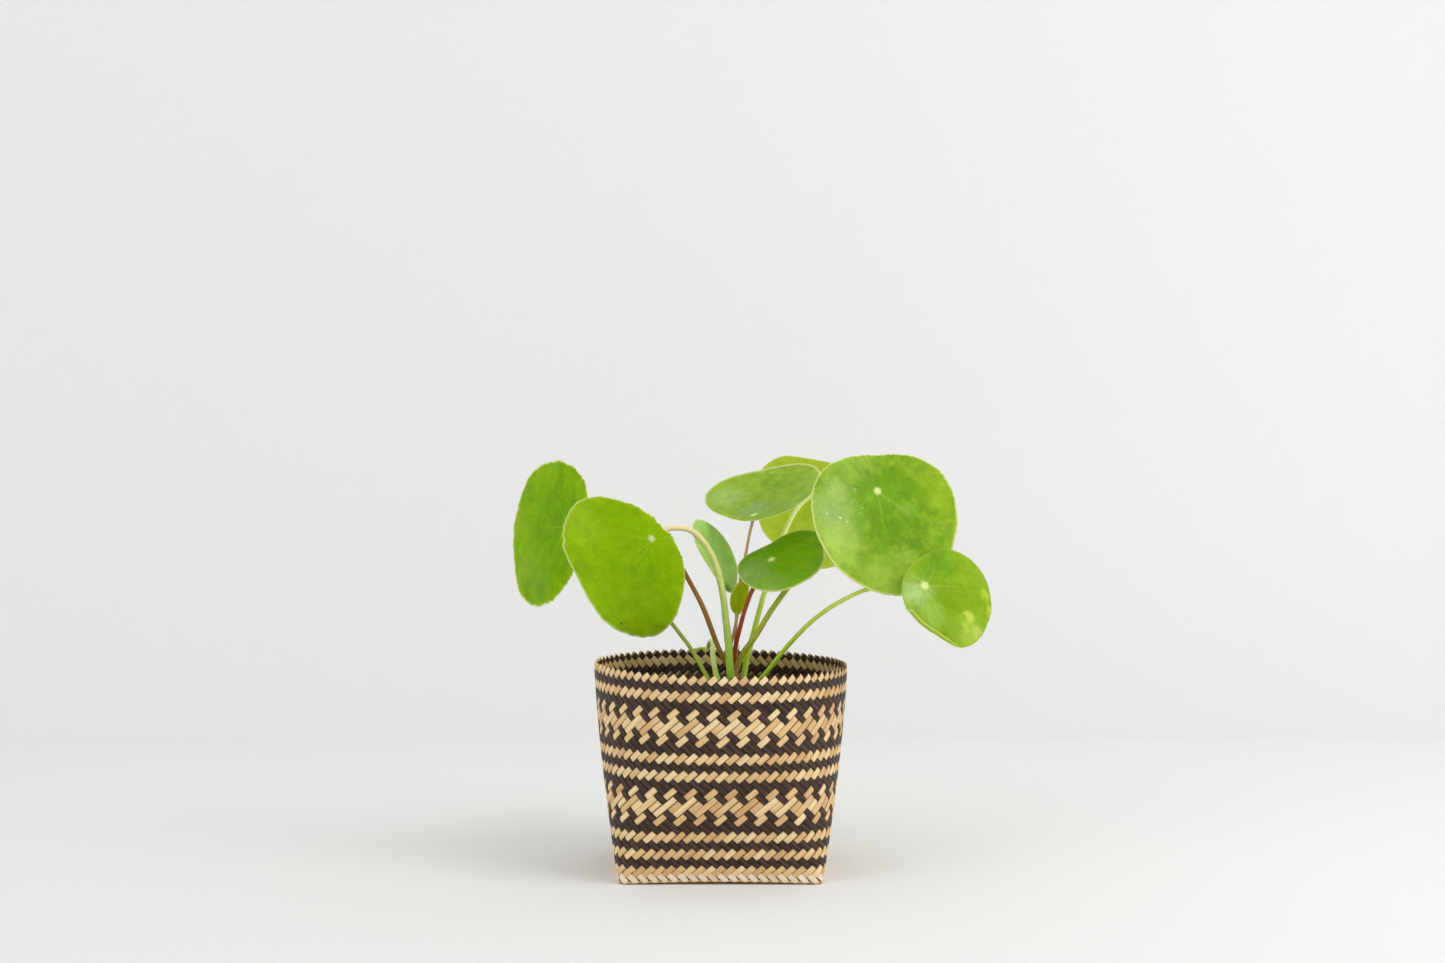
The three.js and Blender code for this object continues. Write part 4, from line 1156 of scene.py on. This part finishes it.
# %% One blade
def make_blade(leaf):
    """Stretch, lay and thicken the disc into this leaf's blade."""
    blade = copy_of(disc, f"leaf_{leaf['name']}_blade")
    points = points_of(blade)
    share = np.hypot(points[:, 0], points[:, 1])
    bearing = np.arctan2(points[:, 1], points[:, 0])
    reach = outline_reach(leaf, bearing)
    out, lift = roll_margin(leaf, share, bearing, reach)
    u = out * np.cos(bearing)
    v = out * np.sin(bearing)
    w = blade_height(leaf, u, v) + lift
    seed = sum(leaf["at"])
    pucker = min(1, leaf["size"][0] / 60)
    rise, apart = PUCKER
    w += [rise * pucker * noise.noise(Vector((a / apart, b / apart, seed))) for a, b in zip(u, v)]
    tip, side, face = leaf_axes(leaf)
    laid = np.array(leaf["at"], float) + u[:, None] * tip + v[:, None] * side + w[:, None] * face
    move_points(blade, laid * MM)
    point_value(blade, "edge", share)
    spread = share * (reach + (LIP_ON_MAP if "lip" in leaf else 0)) / MAP_MM
    flat_map(blade, "blade", spread * np.cos(bearing) + 0.5, spread * np.sin(bearing) + 0.5)
    flesh = blade.vertex_groups.new(name="flesh")
    for k, s in enumerate(share):
        flesh.add([k], float(1 - smoothstep((s - THIN_FROM) / (1 - THIN_FROM))), "REPLACE")
    blade.data.materials.append(blade_material(leaf, under=False))
    blade.data.materials.append(blade_material(leaf, under=True))
    blade.data.update()
    middle_face = min(blade.data.polygons, key=lambda f: (f.center - Vector(leaf["at"]) * MM).length)
    if Vector(face).dot(middle_face.normal) < 0:
        blade.data.flip_normals()
    modify(blade, "SOLIDIFY", thickness=BLADE_THICKNESS, offset=0, use_even_offset=True,
           vertex_group="flesh", thickness_vertex_group=MARGIN_THINNING, material_offset=1)
    blade.vertex_groups.clear()
    smooth(blade, 70)
    return finish_piece(blade, "leaf", f"leaf_{leaf['name']}")


# %% [markdown]
# The finish of a fresh leaf is a thin waxy skin over wet green flesh: saturated yellow-green that is
# blotched where light shines through thinner flesh, with soft patches that are partly painted sheen
# and painted shade, and pale on the dot, on two or three fine veins and on the thin dry margin. Some
# light goes through the blade, so it gets a little subsurface scattering. The underside is paler and matt.

# %% Leaf finish
SMALL_SPOT = (0.25, 1.2)      # a mark is solid to this share of its size and gone by that one
# a soft patch is partly painted sheen and painted shade, and partly the leaf's own tone
SOFT_SPOT = (0.0, 1.0)        # a shade fades all the way
WARP = 5.0                    # mm by which noise pulls the spots out of round
WARPED_FROM = 1.2             # mm: smaller spots stay round
DRY_MARGIN = (1.2, 0.4)       # mm from the margin where its dry line starts and is full
DOT = (1.2, 2.8)              # mm from the dot's middle: solid to here and gone by there
DOT_POINTS = 5.0              # the dot is a blunt star
# Noise cells to the mm: clouds of tone, young blotches, warped spots, the net of veins, quilting
CLOUDS, BLOTCHES, BENDS, NET, QUILTING = 0.035, 0.13, 0.22, 0.16, 0.3
RAYS = (6, 6, 0)              # noise cells round the dot, for streaks that run out from it
RAY_LENGTH = 0.14             # noise cells to the mm along a streak


def spotted(add, leaf, place, moved, colour):
    """Lay the leaf's soft patches, partly painted sheen and painted shade, and its small marks over a
    colour.
    """
    spots = [(*shade, SOFT_SPOT) for shade in leaf.get("painted_light_and_tone", ())]
    spots += [(*mark, 0.9, SMALL_SPOT) for mark in leaf.get("marks", ())]
    if not spots:
        return colour
    warp = add("TexNoise", Vector=moved, Scale=BENDS, Detail=3.0, Roughness=0.6)
    bent = add("VectorMath", warp.outputs["Color"], (2 * WARP, 2 * WARP, 0), place, operation="MULTIPLY_ADD")
    for u, v, size, tint, strength, (solid, gone) in spots:
        pull, seen_at = (WARP, bent) if size > WARPED_FROM else (0.0, place)
        away = add("VectorMath", seen_at, (u + pull, v + pull, 0), operation="DISTANCE")
        spot = add("MapRange", away, solid * size, gone * size, strength, 0.0,
                   interpolation_type="SMOOTHSTEP")
        colour = add("Mix", spot, colour, tint, data_type="RGBA")
    return colour


def vein_lines(add, leaf, place, wobble):
    """1 on a main vein that runs out from the dot, fading away from it, and 0 between."""
    vein = 0.0
    for bearing, run in leaf.get("veins", VEINS):
        ahead = Vector((math.cos(math.radians(bearing)), math.sin(math.radians(bearing)), 0))
        along = add("VectorMath", place, ahead, operation="DOT_PRODUCT")
        beside = add("VectorMath", place, (-ahead.y, ahead.x, 0), operation="DOT_PRODUCT")
        off = add("Math", add("Math", beside, wobble, operation="ADD"), operation="ABSOLUTE")
        line = add("MapRange", off, 0.05, 0.55, 1.0, 0.0)
        fade = add("MapRange", along, 1.5, run, 0.45, 0.0)
        ahead_only = add("Math", along, 0.5, operation="GREATER_THAN")
        one = add("Math", add("Math", line, fade, operation="MULTIPLY"), ahead_only, operation="MULTIPLY")
        vein = add("Math", one, vein, operation="MAXIMUM")
    return vein


# %% The whole finish of one side
def blade_material(leaf, under):
    """Fresh leaf: blotched flesh under thin wax, with veins, a pale dot and a dry margin, and on the upper
    side soft patches that are partly painted sheen and painted shade.
    """
    side = "underside" if under else "waxy_upper_side"
    material, add = new_material(f"pilea_{leaf['name']}_{side}")
    half = leaf["size"][0] / 2
    small = min(1.0, half / 25)
    flat = add("UVMap", uv_map="blade")
    centred = (-MAP_MM / 2, -MAP_MM / 2, 0)
    place = add("VectorMath", flat, (MAP_MM, MAP_MM, 0), centred, operation="MULTIPLY_ADD")
    moved = add("VectorMath", place, (leaf["at"][0], leaf["at"][2], 0), operation="ADD")
    radius = add("VectorMath", place, operation="LENGTH")
    edge = add("Attribute", attribute_name="edge").outputs["Fac"]

    # blotches: large ones set the tone, smaller ones are young and yellow, more so to the margin
    tone = add("TexNoise", Vector=moved, Scale=CLOUDS, Detail=2.0)
    blotch = add("TexNoise", Vector=moved, Scale=BLOTCHES, Detail=4.0, Roughness=0.62, Distortion=0.15)
    deeper = add("MapRange", tone, 0.42, 0.66, 0.0, 0.75)
    outer = add("MapRange", edge, 0.35, 1.0, -0.12, 0.10)
    biased = add("Math", blotch, outer, operation="ADD")
    younger = add("MapRange", biased, 0.42, 0.68, 0.0, 1.1 * leaf["mottle"])
    colour = add("Mix", deeper, leaf["green"], leaf["deep"], data_type="RGBA")
    colour = add("Mix", younger, colour, leaf["young"], data_type="RGBA")
    # the upper side's soft patches, partly painted sheen and painted shade, and its small marks
    if not under:
        colour = spotted(add, leaf, place, moved, colour)

    # fine streaks that run out from the dot
    outward_way = add("VectorMath", place, operation="NORMALIZE")
    depth = add("CombineXYZ", Z=add("Math", radius, RAY_LENGTH, operation="MULTIPLY"))
    rayed = add("VectorMath", outward_way, RAYS, depth, operation="MULTIPLY_ADD")
    rays = add("TexNoise", Vector=rayed, Scale=1.0, Detail=5.0, Roughness=0.65)
    streaks = add("MapRange", rays, 0.3, 0.7, 0.86, 1.16)
    colour = add("Mix", 1.0, colour, streaks, data_type="RGBA", blend_type="MULTIPLY")

    # a net of fine veins, then the main veins, the star-shaped dot and the thin dry margin
    net = add("TexVoronoi", Vector=moved, Scale=NET, feature="DISTANCE_TO_EDGE")
    colour = add("Mix", add("MapRange", net, 0.0, 0.09, 0.13, 0.0), colour, leaf["young"], data_type="RGBA")
    vein = vein_lines(add, leaf, place, wobble=add("MapRange", blotch, 0.0, 1.0, -1.2, 1.2))
    colour = add("Mix", vein, colour, "#D0DC98" if under else "#B4CA5C", data_type="RGBA")
    split = add("SeparateXYZ", place)
    angle = add("Math", split.outputs["Y"], split.outputs["X"], operation="ARCTAN2")
    ray = add("Math", add("Math", angle, DOT_POINTS, operation="MULTIPLY"), operation="SINE")
    starry = add("Math", radius, add("MapRange", ray, -1.0, 1.0, 0.96, 1.06), operation="MULTIPLY")
    dot = add("MapRange", starry, DOT[0] * small, DOT[1] * small, 1.0, 0.0)
    colour = add("Mix", dot, colour, "#DCE694", data_type="RGBA")
    rim = add("MapRange", edge, 1 - DRY_MARGIN[0] / half, 1 - DRY_MARGIN[1] / half, 0.0, 0.75)
    colour = add("Mix", rim, colour, "#D8D490", data_type="RGBA")
    if under:
        colour = add("Mix", 0.35, colour, "#C8DC58", data_type="RGBA")

    # the flesh puckers between the veins, which sink above and stand out below
    quilt = add("TexNoise", Vector=place, Scale=QUILTING, Detail=3.0, Roughness=0.6)
    relief = add("Math", vein, 0.5, operation="MULTIPLY")
    heights = add("Math", quilt, relief, operation="ADD" if under else "SUBTRACT")
    bump = add("Bump", Strength=0.5, Distance=1.0 * MM, Height=heights)
    smoothest, roughest = (0.60, 0.72) if under else (0.38, 0.50)
    rough = add("MapRange", blotch, 0.3, 0.7, smoothest, roughest)
    add("OutputMaterial", Surface=add(
        "BsdfPrincipled", Base_Color=colour, Roughness=rough, Normal=bump,
        Specular_IOR_Level=0.06 if under else leaf.get("gloss", 0.09), Subsurface_Weight=0.35,
        Subsurface_Radius=(1.0, 1.6, 0.15), Subsurface_Scale=0.9 * MM))
    return material


# %% All the blades
blades = [make_blade(leaf) for leaf in LEAVES]
bpy.data.objects.remove(disc)
print("blades:", len(blades), "with", sum(len(b.data.polygons) for b in blades), "faces")

# %% [markdown]
# ## The stalks
# A stalk is a smooth succulent rod. It swells where it leaves the trunk and again where it spreads
# into the blade. Its colour runs from base to blade, green on some and pink, brown or dark red on
# others, so each has its own ramp along its length.

# %% Stalk finish
RIDGES = (2400.0, 2400.0, 160.0)  # noise cells to the metre: ridges 0.4 mm wide that run up a stalk


def stalk_material(leaf):
    """Succulent stem: a colour ramp along it, fine ridges lengthwise, and a soft waxy gloss."""
    material, add = new_material(f"succulent_stalk_{leaf['name']}")
    along = add("Attribute", attribute_name="along").outputs["Fac"]
    place = add("TexCoord").outputs["Object"]
    patch = add("TexNoise", Vector=place, Scale=1 / (9 * MM), Detail=3.0)
    wander = add("MapRange", patch, 0.0, 1.0, -0.15, 0.15)
    shifted = add("Math", along, wander, operation="ADD", use_clamp=True)
    colour = add("ValToRGB", shifted, stops=leaf["skin"])
    ridges = add("TexNoise", Vector=add("Mapping", Vector=place, Scale=RIDGES), Scale=1.0, Detail=2.0)
    streak = add("MapRange", ridges, 0.35, 0.7, 0.86, 1.1)
    toned = add("Mix", 1.0, colour, streak, data_type="RGBA", blend_type="MULTIPLY")
    bump = add("Bump", Strength=0.25, Distance=0.1 * MM, Height=ridges)
    add("OutputMaterial", Surface=add(
        "BsdfPrincipled", Base_Color=toned, Normal=bump, Roughness=0.42, Specular_IOR_Level=0.12,
        Subsurface_Weight=0.3, Subsurface_Radius=(1.0, 1.2, 0.3), Subsurface_Scale=1.0 * MM))
    return material


# %% Stalks
STALK_STEP = 1.6              # mm between the rings of a stalk
END_TAPER = 0.35              # the last ring is narrow, so that a slanting end stays inside the blade
BASE_SWELL = (0.22, 4)        # a stalk's swelling at the trunk: share of its radius, and reach in mm
TOP_SWELL = (0.35, 1.8)       # and under the blade


def make_stalk(leaf):
    """The stalk from the trunk to the dot, swollen at both ends."""
    face = leaf_axes(leaf)[2]
    seat = np.array(leaf["at"], float) - face * 0.5
    route = smooth_route(leaf["stalk"] + [tuple(seat)], STALK_STEP)
    share = np.linspace(0, 1, len(route))
    start, end = leaf["thick"]
    radii = start + (end - start) * share ** 0.6
    travelled = share * (len(route) - 1) * STALK_STEP
    left = travelled[-1] - travelled
    radii *= 1 + BASE_SWELL[0] * np.exp(-(travelled / BASE_SWELL[1]) ** 2) + (
        TOP_SWELL[0] * np.exp(-(left / TOP_SWELL[1]) ** 2))
    radii[-1] *= END_TAPER
    seed = sum(leaf["at"])
    radii *= [1 + 0.05 * noise.noise(Vector((t / 11, seed, 0))) for t in travelled]
    stalk = stem(f"leaf_{leaf['name']}_stalk", route, radii)
    stalk.data.materials.clear()
    stalk.data.materials.append(stalk_material(leaf))
    smooth(stalk, 60)
    return finish_piece(stalk, "stalk", f"stalk_{leaf['name']}")


stalks = [make_stalk(leaf) for leaf in LEAVES]
print("stalks:", len(stalks), "with", sum(len(s.data.polygons) for s in stalks), "faces")

# %% [markdown]
# ## Finish

# %% Finish
bpy.ops.object.select_all(action="DESELECT")
